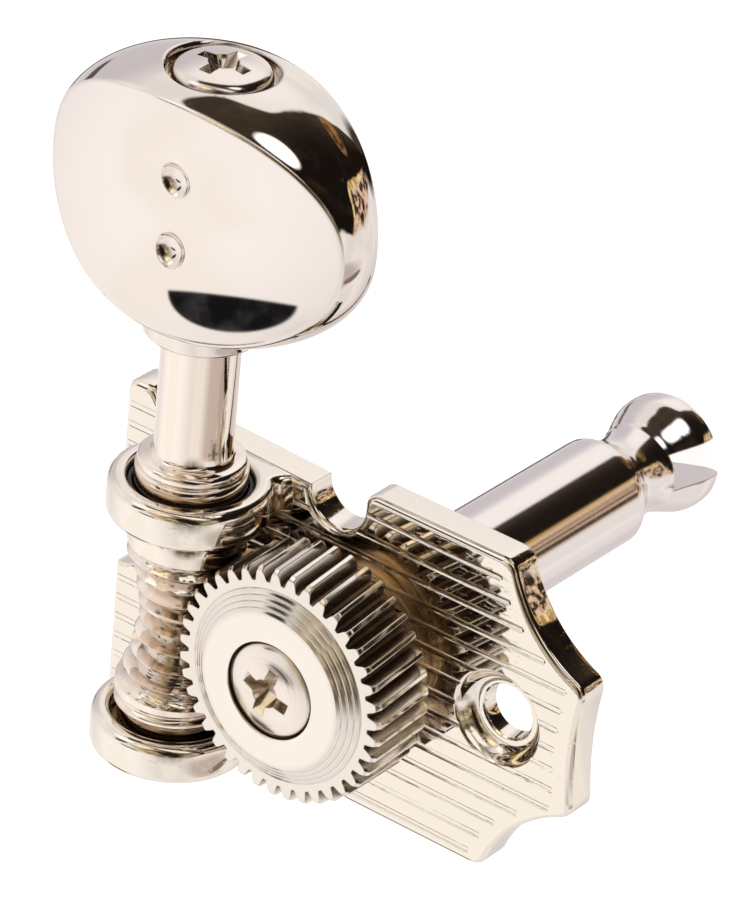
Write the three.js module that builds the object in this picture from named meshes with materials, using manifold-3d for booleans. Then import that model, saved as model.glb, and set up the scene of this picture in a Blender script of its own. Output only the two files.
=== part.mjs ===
// Open-gear guitar tuning machine, in millimetres, +Z up.
// The back of the base plate lies on Z = 0, the string post runs down its own axis, the Z axis,
// and the worm lies along Y beside it. Turning the button turns the worm, which drives the gear
// on the post one tooth for each turn.
import * as THREE from 'three';
import { mergeVertices } from 'three/addons/utils/BufferGeometryUtils.js';
import Module from 'manifold-3d';

const wasm = await Module();
wasm.setup();

// Base plate
const plateThickness = 2;
const plateHalfWidth = 9.4;
const plateLeftMargin = 2.45;
const plateRightReach = 15.1;
const tipHalfSpan = 3.85;
const shoulderReach = 9.9;
const scallopHollow = 0.95;
const endHollow = 0.35;
const leftCornerRadius = 1.1;
const leftCornerRise = 0.25;
const leftStepWidth = 1;
const edgeCornerRadius = 0.7;
const plateEdgeRound = 0.4;
const notchRadius = 1.8;
const webFlare = 0.35;
const halfHoleRadius = 1.8;

// Screw holes of the plate
const screwHoleReach = 9.95;
const screwHoleRadius = 1.5;
const countersinkRadius = 2.75;
const countersinkDepth = 1.15;

// Engraved grooves
const groovePitch = 1.2;
const grooveDrop = 0.2;
const grooveCount = 15;
const grooveWidth = 0.34;
const grooveDepth = 0.16;
const grooveMargin = 0.8;

// Ears that carry the worm shaft
const earRadius = 4.36;
const earOuterFace = 8.3;
const earThickness = 2.3;
const earBoreRadius = 3.35;
const earBaseHalfWidth = 5;
const earNeckDrop = 2.7;
const earEdgeRound = 0.3;
const earFootHeight = 1.7;

// Gear
const gearTipRadius = 6.72;
const toothDepth = 0.8;
const gearWidth = 4.34;
const toothCount = 39;
const toothTipHalfShare = 0.13;
const toothRootHalfShare = 0.12;
const toothStartAngle = 0.101;
const toothChamfer = 0.22;
const hubStepCount = 4;
const hubMargin = 0.42;
const hubStepSpan = 1.15;
const hubBossRise = 0.7;
const hubStepSlope = 0.05;

// Worm shaft
const wormThroatRadius = 1.58;
const wormBlankRadius = 3.2;
const wormThreadReach = 4.5;
const meshGap = 0.12;
const stemRadius = 2.1;
const stemTop = 27;
const stemFlatStart = 20.5;
const stemFlatHalf = 1.65;
const collarRadius = 3;
const collarTop = 9.05;
const beadRadius = 2.9;
const beadTop = 9.6;
const beadRound = 0.25;
const collarConeRise = 0.3;
const lowerCollarRadius = 2.95;
const journalRadius = 1.9;
const thrustFace = 6.65;
const wormEndGrooveDepth = 0.25;
const wormEndGrooveWidth = 0.2;
const wormEndReach = 5.5;

// Bearing bushes and washers
const bushWall = 0.22;
const runningGap = 0.08;
const pressGap = 0.05;
const thrustWasherThickness = 0.3;
const postBushWall = 0.5;
const bushFlangeThickness = 0.65;
const gearWasherThickness = 0.74;
const gearWasherRadius = 4.6;

// String post
const postRadius = 3.175;
const postLength = 28;
const postShoulderReach = 20.65;
const postWaistRadius = 2.42;
const postFlareRadius = 3.3;
const stringSlotWidth = 2.1;
const stringSlotDepth = 3.7;
const stringSlotAngle = 0.28;
const postSquareHalf = 1.8;
const postSquareHeight = 2.55;

// Gear screw
const gearScrewHeadRadius = 2.6;
const gearScrewHoleRadius = 2.75;
const gearScrewHeadRim = 0.3;
const gearScrewHeadDepth = 1.6;
const gearScrewDome = 0.4;
const gearScrewShankRadius = 1.25;
const gearScrewShankEnd = 1;

// Button and its screw
const buttonHalfWidth = 9.5;
const buttonMiddle = 24.55;
const buttonTopRise = 6.75;
const buttonBottomDrop = 6.2;
const buttonCrown = 3.1;
const buttonWingHalf = 1.4;
const buttonRimHalf = 4.1;
const buttonBulgeShare = 0.24;
const buttonOutlineExponent = 2.12;
const neckRadius = 3.12;
const neckBottom = 16.9;
const neckEdgeRound = 0.2;
const neckFlare = 0.45;
const dimpleOpening = 0.85;
const dimpleDepth = 0.38;
const upperDimplePlace = 26.6;
const lowerDimplePlace = 22.8;
const buttonScrewHeadRadius = 2.6;
const buttonRecessRadius = 2.9;
const buttonScrewSeat = 31.2;
const buttonScrewRim = 0.55;
const buttonScrewDome = 0.5;
const buttonScrewShankRadius = 1.2;
const buttonScrewEnd = 22.5;

// Cross recess of both screws
const recessReach = 1.35;
const recessDepth = 0.95;
const recessWingHalf = 0.3;
const gearScrewTurn = -0.3;

// Shared clearances and counts
const slipGap = 0.1;
const overrun = 1;
const weldDistance = 0.0001;
const roundSegments = 36;
const wormColumns = 28;
const buttonSegments = 36;
const arcSteps = 8;
const archSteps = 24;
const cornerSteps = 4;
const grooveEndSteps = 3;

// Places worked out from the sizes above
const gearRootRadius = gearTipRadius - toothDepth;
const hubOuterRadius = gearRootRadius - hubMargin;
const hubBossRadius = hubOuterRadius - hubStepSpan;
const wormDistance = gearTipRadius + wormThroatRadius;
const wormX = -wormDistance;
const gearBack = plateThickness + bushFlangeThickness + gearWasherThickness;
const gearFront = gearBack + gearWidth;
const wormZ = gearBack + gearWidth / 2;
const plateLeftReach = wormDistance + earBaseHalfWidth + plateLeftMargin;
const bossTop = gearFront + hubBossRise;
const earInnerFace = earOuterFace - earThickness;
const notchMiddle = wormX + earBaseHalfWidth + notchRadius;

// Meshing: the helix of the gear matches the lead of the worm at its throat.
const pitchRadius = (gearTipRadius + gearRootRadius) / 2;
const toothAngle = (2 * Math.PI) / toothCount;
const wormLead = pitchRadius * toothAngle;
const throatPitchRadius = wormDistance - pitchRadius;
const helixSlope = wormLead / (2 * Math.PI * throatPitchRadius);
const twistRate = helixSlope / pitchRadius;

// Solids

// Returns the geometry as one closed mesh with shared corners and its faces pointing out.
function closedMesh(geometry) {
  const bare = geometry.clone();
  bare.deleteAttribute('normal');
  bare.deleteAttribute('uv');
  const merged = mergeVertices(bare, weldDistance);
  const place = merged.attributes.position;
  const source = merged.index.array;
  const faces = [];
  let volume = 0;
  const a = new THREE.Vector3();
  const b = new THREE.Vector3();
  const c = new THREE.Vector3();
  for (let i = 0; i < source.length; i += 3) {
    const [p, q, r] = [source[i], source[i + 1], source[i + 2]];
    if (p === q || q === r || r === p) continue;
    faces.push(p, q, r);
    a.fromBufferAttribute(place, p);
    b.fromBufferAttribute(place, q);
    c.fromBufferAttribute(place, r);
    volume += a.dot(b.cross(c));
  }
  if (volume < 0) {
    for (let i = 0; i < faces.length; i += 3) {
      [faces[i], faces[i + 1]] = [faces[i + 1], faces[i]];
    }
  }
  merged.setIndex(faces);
  return merged;
}

function solidOf(geometry) {
  const closed = closedMesh(geometry);
  return new wasm.Manifold(new wasm.Mesh({
    numProp: 3,
    vertProperties: new Float32Array(closed.attributes.position.array),
    triVerts: new Uint32Array(closed.index.array),
  }));
}

function geometryOf(solid) {
  const mesh = solid.getMesh();
  const geometry = new THREE.BufferGeometry();
  geometry.setAttribute('position', new THREE.BufferAttribute(new Float32Array(mesh.vertProperties), 3));
  geometry.setIndex([...mesh.triVerts]);
  return closedMesh(geometry);
}

function joined(...solids) {
  return solids.reduce((whole, solid) => whole.add(solid));
}

function cutBy(solid, ...tools) {
  return tools.reduce((left, tool) => left.subtract(tool), solid);
}

// Revolves a profile of [radius, height] points about Y.
function turnedY(profile, segments = roundSegments) {
  const points = profile.map(([radius, height]) => new THREE.Vector2(radius, height));
  return new THREE.LatheGeometry(points, segments);
}

// Revolves a profile of [radius, height] points about Z.
function turnedZ(profile, segments = roundSegments) {
  return turnedY(profile, segments).rotateX(Math.PI / 2);
}

// A plain turned bar between two heights.
function barProfile(radius, from, to) {
  return [[0, from], [radius, from], [radius, to], [0, to]];
}

// A ring of rectangular section.
function ringProfile(inner, outer, from, to) {
  return [[inner, from], [outer, from], [outer, to], [inner, to], [inner, from]];
}

function prism(points, height) {
  const shape = new THREE.Shape(points.map(([x, y]) => new THREE.Vector2(x, y)));
  return new THREE.ExtrudeGeometry(shape, { depth: height, bevelEnabled: false });
}

// Base plate: a die-cast plate with scalloped right end, half-round relief notches, two ears for
// the worm shaft, screw holes and a field of parallel grooves.

// Points along a circular arc from one corner to the next, bowed towards the plate's inside.
function bowedEdge(from, to, bow, trimStart, trimEnd) {
  const start = new THREE.Vector2(from.x, from.y);
  const end = new THREE.Vector2(to.x, to.y);
  const along = end.clone().sub(start);
  const half = along.length() / 2;
  along.normalize();
  const inward = new THREE.Vector2(-along.y, along.x);
  const middle = start.clone().add(end).multiplyScalar(1 / 2);
  const startShare = trimStart / (2 * half);
  const endShare = 1 - trimEnd / (2 * half);
  const steps = bow === 0 ? 1 : arcSteps;
  const points = [];
  for (let i = 0; i <= steps; i += 1) {
    const share = startShare + ((endShare - startShare) * i) / steps;
    if (bow === 0) {
      points.push(start.clone().lerp(end, share));
    } else {
      const radius = (half * half + bow * bow) / (2 * bow);
      const spread = bow >= half ? Math.PI / 2 : Math.asin(half / radius);
      const turn = (2 * share - 1) * spread;
      const point = middle.clone().addScaledVector(inward, bow - radius + radius * Math.cos(turn));
      points.push(point.addScaledVector(along, radius * Math.sin(turn)));
    }
  }
  return points;
}

// A closed outline from corners, each with its place, its rounding and the bow of its next edge.
function outlineFrom(corners) {
  const edges = corners.map((corner, i) => {
    const next = corners[(i + 1) % corners.length];
    return bowedEdge(corner, next, corner.bow, corner.round, next.round);
  });
  const outline = [];
  corners.forEach((corner, i) => {
    if (corner.round > 0) {
      const before = edges[(i + corners.length - 1) % corners.length].at(-1);
      const bend = new THREE.QuadraticBezierCurve(before, new THREE.Vector2(corner.x, corner.y), edges[i][0]);
      outline.push(...bend.getPoints(cornerSteps).slice(1, -1));
    }
    outline.push(...edges[i]);
  });
  return outline.filter((point, i) => point.distanceTo(outline.at(i - 1)) > weldDistance);
}

function plateOutline() {
  const corner = (x, y, round, bow = 0) => ({ x, y, round, bow });
  const leftEar = wormX - earBaseHalfWidth;
  const rightEar = wormX + earBaseHalfWidth;
  const pastNotch = notchMiddle + notchRadius;
  const leftStep = Math.min(leftStepWidth, plateLeftMargin / 3);
  const leftRound = Math.min(leftCornerRadius, plateLeftMargin / 3);
  const lower = [
    corner(-plateLeftReach, -plateHalfWidth - leftCornerRise, leftRound),
    corner(leftEar - leftStep, -plateHalfWidth - leftCornerRise, leftStep / 2),
    corner(leftEar, -earOuterFace - webFlare, 0),
    corner(rightEar, -earOuterFace, 0, notchRadius),
    corner(pastNotch, -earOuterFace, 0),
    corner(pastNotch, -plateHalfWidth, Math.min(edgeCornerRadius, plateHalfWidth - earOuterFace)),
    corner(shoulderReach, -plateHalfWidth, edgeCornerRadius, scallopHollow),
    corner(plateRightReach, -tipHalfSpan, edgeCornerRadius, endHollow),
  ];
  const upper = lower.map((point, i) => {
    const next = lower[(i + lower.length - 1) % lower.length];
    return corner(point.x, -point.y, point.round, next.bow);
  });
  upper[0].bow = 0;
  upper[upper.length - 1].bow = lower[lower.length - 2].bow;
  return outlineFrom([...lower, ...upper.reverse()]);
}

// How far right the outline reaches at the height y.
function reachAt(outline, y) {
  let reach = -plateLeftReach;
  outline.forEach((point, i) => {
    const last = outline.at(i - 1);
    if ((point.y - y) * (last.y - y) > 0 || point.y === last.y) return;
    const share = (y - last.y) / (point.y - last.y);
    reach = Math.max(reach, last.x + share * (point.x - last.x));
  });
  return reach;
}

// A long groove with round ends, cut into the front face.
function grooveTool(y, from, to) {
  const half = grooveWidth / 2;
  const shape = new THREE.Shape();
  shape.absarc(to - half, y, half, -Math.PI / 2, Math.PI / 2, false);
  shape.absarc(from + half, y, half, Math.PI / 2, (3 * Math.PI) / 2, false);
  const tool = new THREE.ExtrudeGeometry(shape, {
    depth: grooveDepth + overrun,
    bevelEnabled: false,
    curveSegments: grooveEndSteps,
  });
  return solidOf(tool.translate(0, 0, plateThickness - grooveDepth));
}

function grooveTools(outline) {
  const tools = [];
  const leftEar = wormX - earBaseHalfWidth;
  const pastNotch = notchMiddle + notchRadius;
  for (let i = 0; i < grooveCount; i += 1) {
    const y = (i - (grooveCount - 1) / 2) * groovePitch - grooveDrop;
    const end = reachAt(outline, y) - grooveMargin;
    const start = -plateLeftReach - overrun;
    if (Math.abs(y) > earOuterFace) {
      tools.push(grooveTool(y, start, leftEar - grooveWidth));
      tools.push(grooveTool(y, pastNotch + grooveWidth, end));
    } else {
      tools.push(grooveTool(y, start, end));
    }
  }
  return tools;
}

// One ear: an arch round the worm's bore that widens into a foot on the plate.
function ear(outerFace) {
  const neckAngle = Math.asin(earNeckDrop / earRadius);
  const neckHalf = earRadius * Math.cos(neckAngle);
  const foot = new THREE.Vector2(earBaseHalfWidth, earFootHeight);
  const knee = new THREE.Vector2(neckHalf, plateThickness);
  const neck = new THREE.Vector2(neckHalf, wormZ - earNeckDrop);
  const rightSide = [
    new THREE.Vector2(earBaseHalfWidth, 0),
    ...new THREE.QuadraticBezierCurve(foot, knee, neck).getPoints(cornerSteps),
  ];
  const arch = [];
  for (let i = 1; i < archSteps; i += 1) {
    const turn = ((Math.PI + 2 * neckAngle) * i) / archSteps - neckAngle;
    arch.push(new THREE.Vector2(earRadius * Math.cos(turn), wormZ + earRadius * Math.sin(turn)));
  }
  const leftSide = rightSide.map((point) => new THREE.Vector2(-point.x, point.y)).reverse();
  const outline = [...rightSide, ...arch, ...leftSide];
  const shape = new THREE.Shape(outline.map((point) => new THREE.Vector2(wormX + point.x, point.y)));
  const body = new THREE.ExtrudeGeometry(shape, {
    depth: earThickness - 2 * earEdgeRound,
    bevelThickness: earEdgeRound,
    bevelSize: earEdgeRound,
    bevelOffset: -earEdgeRound,
    bevelSegments: 2,
  });
  return solidOf(body.rotateX(Math.PI / 2).translate(0, outerFace - earEdgeRound, 0));
}

function basePlate() {
  const outline = plateOutline();
  const blank = new THREE.ExtrudeGeometry(new THREE.Shape(outline), {
    depth: plateThickness - plateEdgeRound,
    bevelThickness: plateEdgeRound,
    bevelSize: plateEdgeRound,
    bevelOffset: -plateEdgeRound,
    bevelSegments: 2,
  });
  const wide = 4 * plateLeftReach;
  const below = new THREE.BoxGeometry(wide, wide, 2 * plateThickness).translate(0, 0, -plateThickness);
  const plate = cutBy(solidOf(blank), solidOf(below), ...grooveTools(outline));
  const whole = joined(plate, ear(earOuterFace), ear(earThickness - earOuterFace));
  const postHole = turnedZ(barProfile(postBushRadius() + pressGap, -overrun, plateThickness + overrun));
  const screwHole = turnedZ([
    [0, -overrun],
    [screwHoleRadius, -overrun],
    [screwHoleRadius, plateThickness - countersinkDepth],
    [countersinkRadius, plateThickness],
    [countersinkRadius, plateThickness + overrun],
    [0, plateThickness + overrun],
  ]).translate(screwHoleReach, 0, 0);
  const halfHole = turnedZ(barProfile(halfHoleRadius, -overrun, plateThickness + overrun));
  const earBore = turnedY(barProfile(earBoreRadius, -earOuterFace - overrun, earOuterFace + overrun));
  return geometryOf(cutBy(
    whole,
    solidOf(postHole),
    solidOf(screwHole),
    solidOf(halfHole.translate(-plateLeftReach, 0, 0)),
    solidOf(earBore.translate(wormX, 0, wormZ)),
  ));
}

// Outer radius of the bearing sleeve that lines the plate's post hole.
function postBushRadius() {
  return postRadius + runningGap + postBushWall;
}

// Flanged sleeve in the post hole; the gear's washer rides on its flange.
function postBush() {
  const inner = postRadius + runningGap;
  return closedMesh(turnedZ([
    [inner, pressGap],
    [postBushRadius(), pressGap],
    [postBushRadius(), plateThickness],
    [gearWasherRadius, plateThickness],
    [gearWasherRadius, plateThickness + bushFlangeThickness],
    [inner, plateThickness + bushFlangeThickness],
    [inner, pressGap],
  ]));
}

function gearWasher() {
  const inner = postRadius + runningGap;
  return closedMesh(turnedZ(ringProfile(inner, gearWasherRadius, gearBack - gearWasherThickness, gearBack)));
}

// Helical gear with a stepped, raised boss on its front face.

// Radius of the tooth profile at a phase counted in teeth from the middle of a tooth.
function toothReach(phase, extra = 0) {
  const fromTooth = Math.abs(phase - Math.round(phase));
  const gapShare = extra / wormLead;
  const tipEnd = toothTipHalfShare + gapShare;
  const rootStart = 1 / 2 - toothRootHalfShare + gapShare;
  const share = THREE.MathUtils.clamp((fromTooth - tipEnd) / (rootStart - tipEnd), 0, 1);
  return THREE.MathUtils.lerp(gearTipRadius, gearRootRadius, share) + extra;
}

function toothedBody() {
  const cornerPhaseShares = [-toothTipHalfShare, toothTipHalfShare, 1 / 2 - toothRootHalfShare, 1 / 2 + toothRootHalfShare];
  const middle = gearBack + gearWidth / 2;
  const levels = [
    { z: gearBack, limit: gearTipRadius - toothChamfer },
    { z: gearBack + toothChamfer, limit: gearTipRadius },
    { z: middle, limit: gearTipRadius },
    { z: gearFront - toothChamfer, limit: gearTipRadius },
    { z: gearFront, limit: gearTipRadius - toothChamfer },
  ];
  const ringSize = toothCount * cornerPhaseShares.length;
  const places = [];
  levels.forEach(({ z, limit }) => {
    for (let tooth = 0; tooth < toothCount; tooth += 1) {
      cornerPhaseShares.forEach((share) => {
        const turn = toothStartAngle + (tooth + share) * toothAngle - twistRate * (z - middle);
        const radius = Math.min(toothReach(share), limit);
        places.push(radius * Math.cos(turn), radius * Math.sin(turn), z);
      });
    }
  });
  places.push(0, 0, gearBack, 0, 0, gearFront);
  const backCentre = levels.length * ringSize;
  const frontCentre = backCentre + 1;
  const faces = [];
  for (let i = 0; i < ringSize; i += 1) {
    const next = (i + 1) % ringSize;
    for (let level = 0; level + 1 < levels.length; level += 1) {
      const low = level * ringSize;
      const high = low + ringSize;
      faces.push(low + i, low + next, high + next, low + i, high + next, high + i);
    }
    const top = (levels.length - 1) * ringSize;
    faces.push(backCentre, next, i, frontCentre, top + i, top + next);
  }
  const geometry = new THREE.BufferGeometry();
  geometry.setAttribute('position', new THREE.Float32BufferAttribute(places, 3));
  geometry.setIndex(faces);
  return geometry;
}

function hubProfile() {
  const profile = [[0, gearBack + toothChamfer], [hubOuterRadius, gearBack + toothChamfer]];
  const stepWidth = (hubOuterRadius - hubBossRadius) / hubStepCount;
  const stepRise = hubBossRise / hubStepCount;
  for (let i = 0; i < hubStepCount; i += 1) {
    const radius = hubOuterRadius - i * stepWidth;
    profile.push([radius, gearFront + i * stepRise]);
    profile.push([radius - hubStepSlope, gearFront + (i + 1) * stepRise]);
  }
  profile.push([0, bossTop]);
  return profile;
}

function mainGear() {
  const blank = joined(solidOf(toothedBody()), solidOf(turnedZ(hubProfile())));
  const square = 2 * (postSquareHalf + slipGap);
  const squareTop = gearBack + postSquareHeight + slipGap;
  const socket = new THREE.BoxGeometry(square, square, squareTop - gearBack + overrun);
  const screwHole = turnedZ([
    [0, gearBack],
    [gearScrewShankRadius + slipGap, gearBack],
    [gearScrewShankRadius + slipGap, bossTop - gearScrewHeadDepth],
    [gearScrewHoleRadius, bossTop - gearScrewHeadRim],
    [gearScrewHoleRadius, bossTop + overrun],
    [0, bossTop + overrun],
  ]);
  return geometryOf(cutBy(
    blank,
    solidOf(socket.translate(0, 0, (squareTop + gearBack - overrun) / 2)),
    solidOf(screwHole),
  ));
}

// A cross recess: two tapered wings at right angles, cut down from the given height.
function crossRecess(top) {
  const wing = prism([
    [-recessReach, overrun],
    [-recessReach, 0],
    [-recessReach / 3, -recessDepth],
    [recessReach / 3, -recessDepth],
    [recessReach, 0],
    [recessReach, overrun],
  ], 2 * recessWingHalf);
  const first = wing.clone().translate(0, 0, -recessWingHalf);
  const second = first.clone().rotateY(Math.PI / 2);
  return joined(solidOf(first.translate(0, top, 0)), solidOf(second.translate(0, top, 0)));
}

// Profile of a screw head with a domed top, from the middle of the dome down to the rim.
function domeProfile(radius, top, rise) {
  const profile = [];
  for (let i = 0; i <= cornerSteps; i += 1) {
    const share = i / cornerSteps;
    profile.push([radius * share, top - rise * share * share]);
  }
  return profile;
}

// Countersunk screw that holds the gear on the square of the post.
function gearScrew() {
  const domeTop = bossTop + gearScrewDome;
  const profile = [
    ...domeProfile(gearScrewHeadRadius, domeTop, gearScrewDome),
    [gearScrewHeadRadius, bossTop - gearScrewHeadRim + slipGap],
    [gearScrewShankRadius, bossTop - gearScrewHeadDepth + slipGap],
    [gearScrewShankRadius, gearScrewShankEnd],
    [0, gearScrewShankEnd],
  ];
  const body = solidOf(turnedY(profile));
  return geometryOf(cutBy(body, crossRecess(domeTop))).rotateX(Math.PI / 2).rotateZ(gearScrewTurn);
}

// String post: a thick pin with a square for the gear, a waist that the string winds on and a
// flared tip split by the string slot.
function stringPost() {
  const tip = -postLength;
  const waist = (share) => tip + (postLength - postShoulderReach) * share;
  const tipShares = [0.01, 0.05, 0.12, 0.21, 0.34, 0.48, 0.62, 0.74, 0.88, 0.96];
  const widthShares = [0.72, 0.92, 1, 0.98, 0.64, 0.24, 0, 0.02, 0.32, 0.7];
  const profile = [[0, tip], [postFlareRadius * widthShares[0], tip]];
  tipShares.forEach((share, i) => {
    const widest = share < 1 / 2 ? postFlareRadius : postRadius;
    if (i > 0) profile.push([postWaistRadius + (widest - postWaistRadius) * widthShares[i], waist(share)]);
  });
  profile.push([postRadius, -postShoulderReach]);
  profile.push([postRadius, gearBack], [0, gearBack]);
  const side = 2 * postSquareHalf;
  const square = new THREE.BoxGeometry(side, side, postSquareHeight + postRadius);
  const squarePlace = gearBack + (postSquareHeight - postRadius) / 2;
  const slot = new THREE.BoxGeometry(4 * postRadius, stringSlotWidth, stringSlotDepth + overrun);
  const slotPlace = tip + (stringSlotDepth - overrun) / 2;
  const screwHole = barProfile(gearScrewShankRadius + slipGap, gearScrewShankEnd - slipGap, bossTop);
  return geometryOf(cutBy(
    joined(solidOf(turnedZ(profile)), solidOf(square.translate(0, 0, squarePlace))),
    solidOf(slot.translate(0, 0, slotPlace).rotateZ(stringSlotAngle)),
    solidOf(turnedZ(screwHole)),
  ));
}

// Worm shaft: stem, collar, hourglass worm and lower journal in one turned piece.

// Radius of the worm blank, hollowed round the gear.
function blankRadius(y) {
  const hollow = gearRootRadius + meshGap;
  return Math.min(wormBlankRadius, wormDistance - Math.sqrt(hollow * hollow - Math.min(y * y, hollow * hollow)));
}

// Radius that the rolling gear leaves on the worm at one angle round it and one place along it.
// The gear's teeth, grown by the running gap, are swept past the blank through the whole mesh.
function carvedRadius(turn, y) {
  const swings = 20;
  const widest = 1.3;
  const marches = 36;
  const core = wormDistance - gearTipRadius - 2 * meshGap;
  let radius = blankRadius(y);
  for (let s = 0; s <= swings; s += 1) {
    const swing = widest * ((2 * s) / swings - 1);
    const meets = (reach) => {
      const x = reach * Math.cos(swing) - wormDistance;
      const rise = -reach * Math.sin(swing);
      if (Math.abs(rise) > gearWidth / 2 + meshGap) return false;
      const bearing = Math.atan2(y, x) + (y < 0 ? 2 * Math.PI : 0);
      const phase = (bearing - toothStartAngle + (swing - turn) / toothCount + twistRate * rise) / toothAngle;
      return Math.hypot(x, y) < toothReach(phase, meshGap);
    };
    let clear = core;
    for (let m = 1; m <= marches; m += 1) {
      const reach = core + ((radius - core) * m) / marches;
      if (meets(reach)) {
        let [low, high] = [clear, reach];
        for (let halving = 0; halving < 5; halving += 1) {
          const middle = (low + high) / 2;
          if (meets(middle)) high = middle;
          else low = middle;
        }
        radius = low;
        break;
      }
      clear = reach;
    }
  }
  return radius;
}

// The threaded rows follow the thread: each row keeps one phase of the gear's tooth.
function threadRows() {
  const phaseShares = [0.84, 0.6, 0.4, 0.16];
  const halfMesh = Math.asin(wormThreadReach / gearRootRadius);
  const highest = Math.ceil((Math.PI + halfMesh - toothStartAngle) / toothAngle) + 1;
  const lowest = Math.floor((Math.PI - halfMesh - toothStartAngle) / toothAngle) - 2;
  const phases = [];
  for (let tooth = highest; tooth >= lowest; tooth -= 1) {
    phaseShares.forEach((share) => phases.push(tooth + share));
  }
  const rows = phases.map((phase) => {
    const row = [];
    for (let i = 0; i < wormColumns; i += 1) {
      const turn = (2 * Math.PI * i) / wormColumns;
      const bearing = toothStartAngle + turn / toothCount + phase * toothAngle;
      const along = THREE.MathUtils.lerp(pitchRadius, toothReach(phase), 1 / 4) * Math.sin(bearing);
      const y = THREE.MathUtils.clamp(along, -wormThreadReach, wormThreadReach);
      row.push([carvedRadius(turn, y), y]);
    }
    return row;
  });
  return { rows, rowsPerTurn: phaseShares.length };
}

// Plain rings of the shaft, as [radius, place along Y] pairs from the lower end up.
function lowerShaftRings() {
  const grooveFloor = wormBlankRadius - wormEndGrooveDepth;
  return [
    [journalRadius - slipGap, -earOuterFace],
    [journalRadius, -earOuterFace + slipGap],
    [journalRadius, -thrustFace],
    [lowerCollarRadius, -thrustFace],
    [lowerCollarRadius, -wormEndReach],
    [wormBlankRadius, -wormEndReach + slipGap],
    [wormBlankRadius, -wormEndReach + wormEndGrooveWidth],
    [grooveFloor, -wormEndReach + 2 * wormEndGrooveWidth],
    [grooveFloor, -wormEndReach + 3 * wormEndGrooveWidth],
    [wormBlankRadius, -wormEndReach + 4 * wormEndGrooveWidth],
  ];
}

function upperShaftRings() {
  const rings = [
    [wormBlankRadius, earInnerFace - runningGap - slipGap],
    [collarRadius, earInnerFace - runningGap],
    [collarRadius, collarTop - slipGap],
    [collarRadius - slipGap, collarTop],
    [beadRadius - slipGap, collarTop],
    [beadRadius, collarTop + slipGap],
    [beadRadius, beadTop - beadRound],
    [beadRadius - beadRound / 3, beadTop - beadRound / 3],
    [beadRadius - beadRound, beadTop],
    [stemRadius, beadTop + collarConeRise],
  ];
  const boreRadius = buttonScrewShankRadius + slipGap;
  rings.push([stemRadius, stemTop - slipGap], [stemRadius - slipGap, stemTop]);
  rings.push([boreRadius, stemTop], [boreRadius, buttonScrewEnd - slipGap]);
  return rings;
}

function wormShaft() {
  const { rows, rowsPerTurn } = threadRows();
  const ring = ([radius, y]) => Array.from({ length: wormColumns }, () => [radius, y]);
  const lower = lowerShaftRings().map(ring);
  const upper = upperShaftRings().map(ring);
  const all = [...lower, ...rows, ...upper];
  const places = [];
  all.forEach((row) => row.forEach(([radius, y], i) => {
    const turn = (2 * Math.PI * i) / wormColumns;
    places.push(radius * Math.cos(turn), y, -radius * Math.sin(turn));
  }));
  places.push(0, -earOuterFace, 0, 0, buttonScrewEnd - slipGap, 0);
  const first = lower.length;
  const last = first + rows.length - 1;
  const vertex = (i, j) => {
    if (i < wormColumns) return j * wormColumns + i;
    if (j < first || j > last) return j * wormColumns;
    return Math.max(first, j - rowsPerTurn) * wormColumns;
  };
  const faces = [];
  for (let i = 0; i < wormColumns; i += 1) {
    for (let j = 0; j + 1 < all.length; j += 1) {
      faces.push(vertex(i, j), vertex(i + 1, j), vertex(i + 1, j + 1));
      faces.push(vertex(i, j), vertex(i + 1, j + 1), vertex(i, j + 1));
    }
    const bottomPole = all.length * wormColumns;
    faces.push(bottomPole, vertex(i + 1, 0), vertex(i, 0));
    faces.push(bottomPole + 1, vertex(i, all.length - 1), vertex(i + 1, all.length - 1));
  }
  const geometry = new THREE.BufferGeometry();
  geometry.setAttribute('position', new THREE.Float32BufferAttribute(places, 3));
  geometry.setIndex(faces);
  const flatDepth = 2 * stemRadius;
  const flatLength = stemTop - stemFlatStart + overrun;
  const flats = [1, -1].map((side) => new THREE.BoxGeometry(2 * flatDepth, flatLength, flatDepth)
    .translate(0, stemFlatStart + flatLength / 2, side * (stemFlatHalf + flatDepth / 2)));
  const shaft = cutBy(solidOf(geometry), ...flats.map(solidOf));
  return geometryOf(shaft).translate(wormX, 0, wormZ);
}

// Thin sleeve between the upper collar and its ear.
function upperWormBush() {
  const inner = collarRadius + runningGap;
  const ring = ringProfile(inner, inner + bushWall, earInnerFace, earOuterFace - plateEdgeRound);
  return closedMesh(turnedY(ring)).translate(wormX, 0, wormZ);
}

// Plug that fills the lower ear and carries the journal.
function lowerWormBush() {
  const inner = journalRadius + runningGap;
  const top = -thrustFace - thrustWasherThickness;
  const ring = ringProfile(inner, earBoreRadius - pressGap, -earOuterFace, top);
  return closedMesh(turnedY(ring)).translate(wormX, 0, wormZ);
}

function wormThrustWasher() {
  const inner = journalRadius + runningGap;
  const ring = ringProfile(inner, lowerCollarRadius, -thrustFace - thrustWasherThickness, -thrustFace);
  return closedMesh(turnedY(ring)).translate(wormX, 0, wormZ);
}

// Button: an oval casting, thick along the stem and thin at its wings, with a neck ring.

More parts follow.
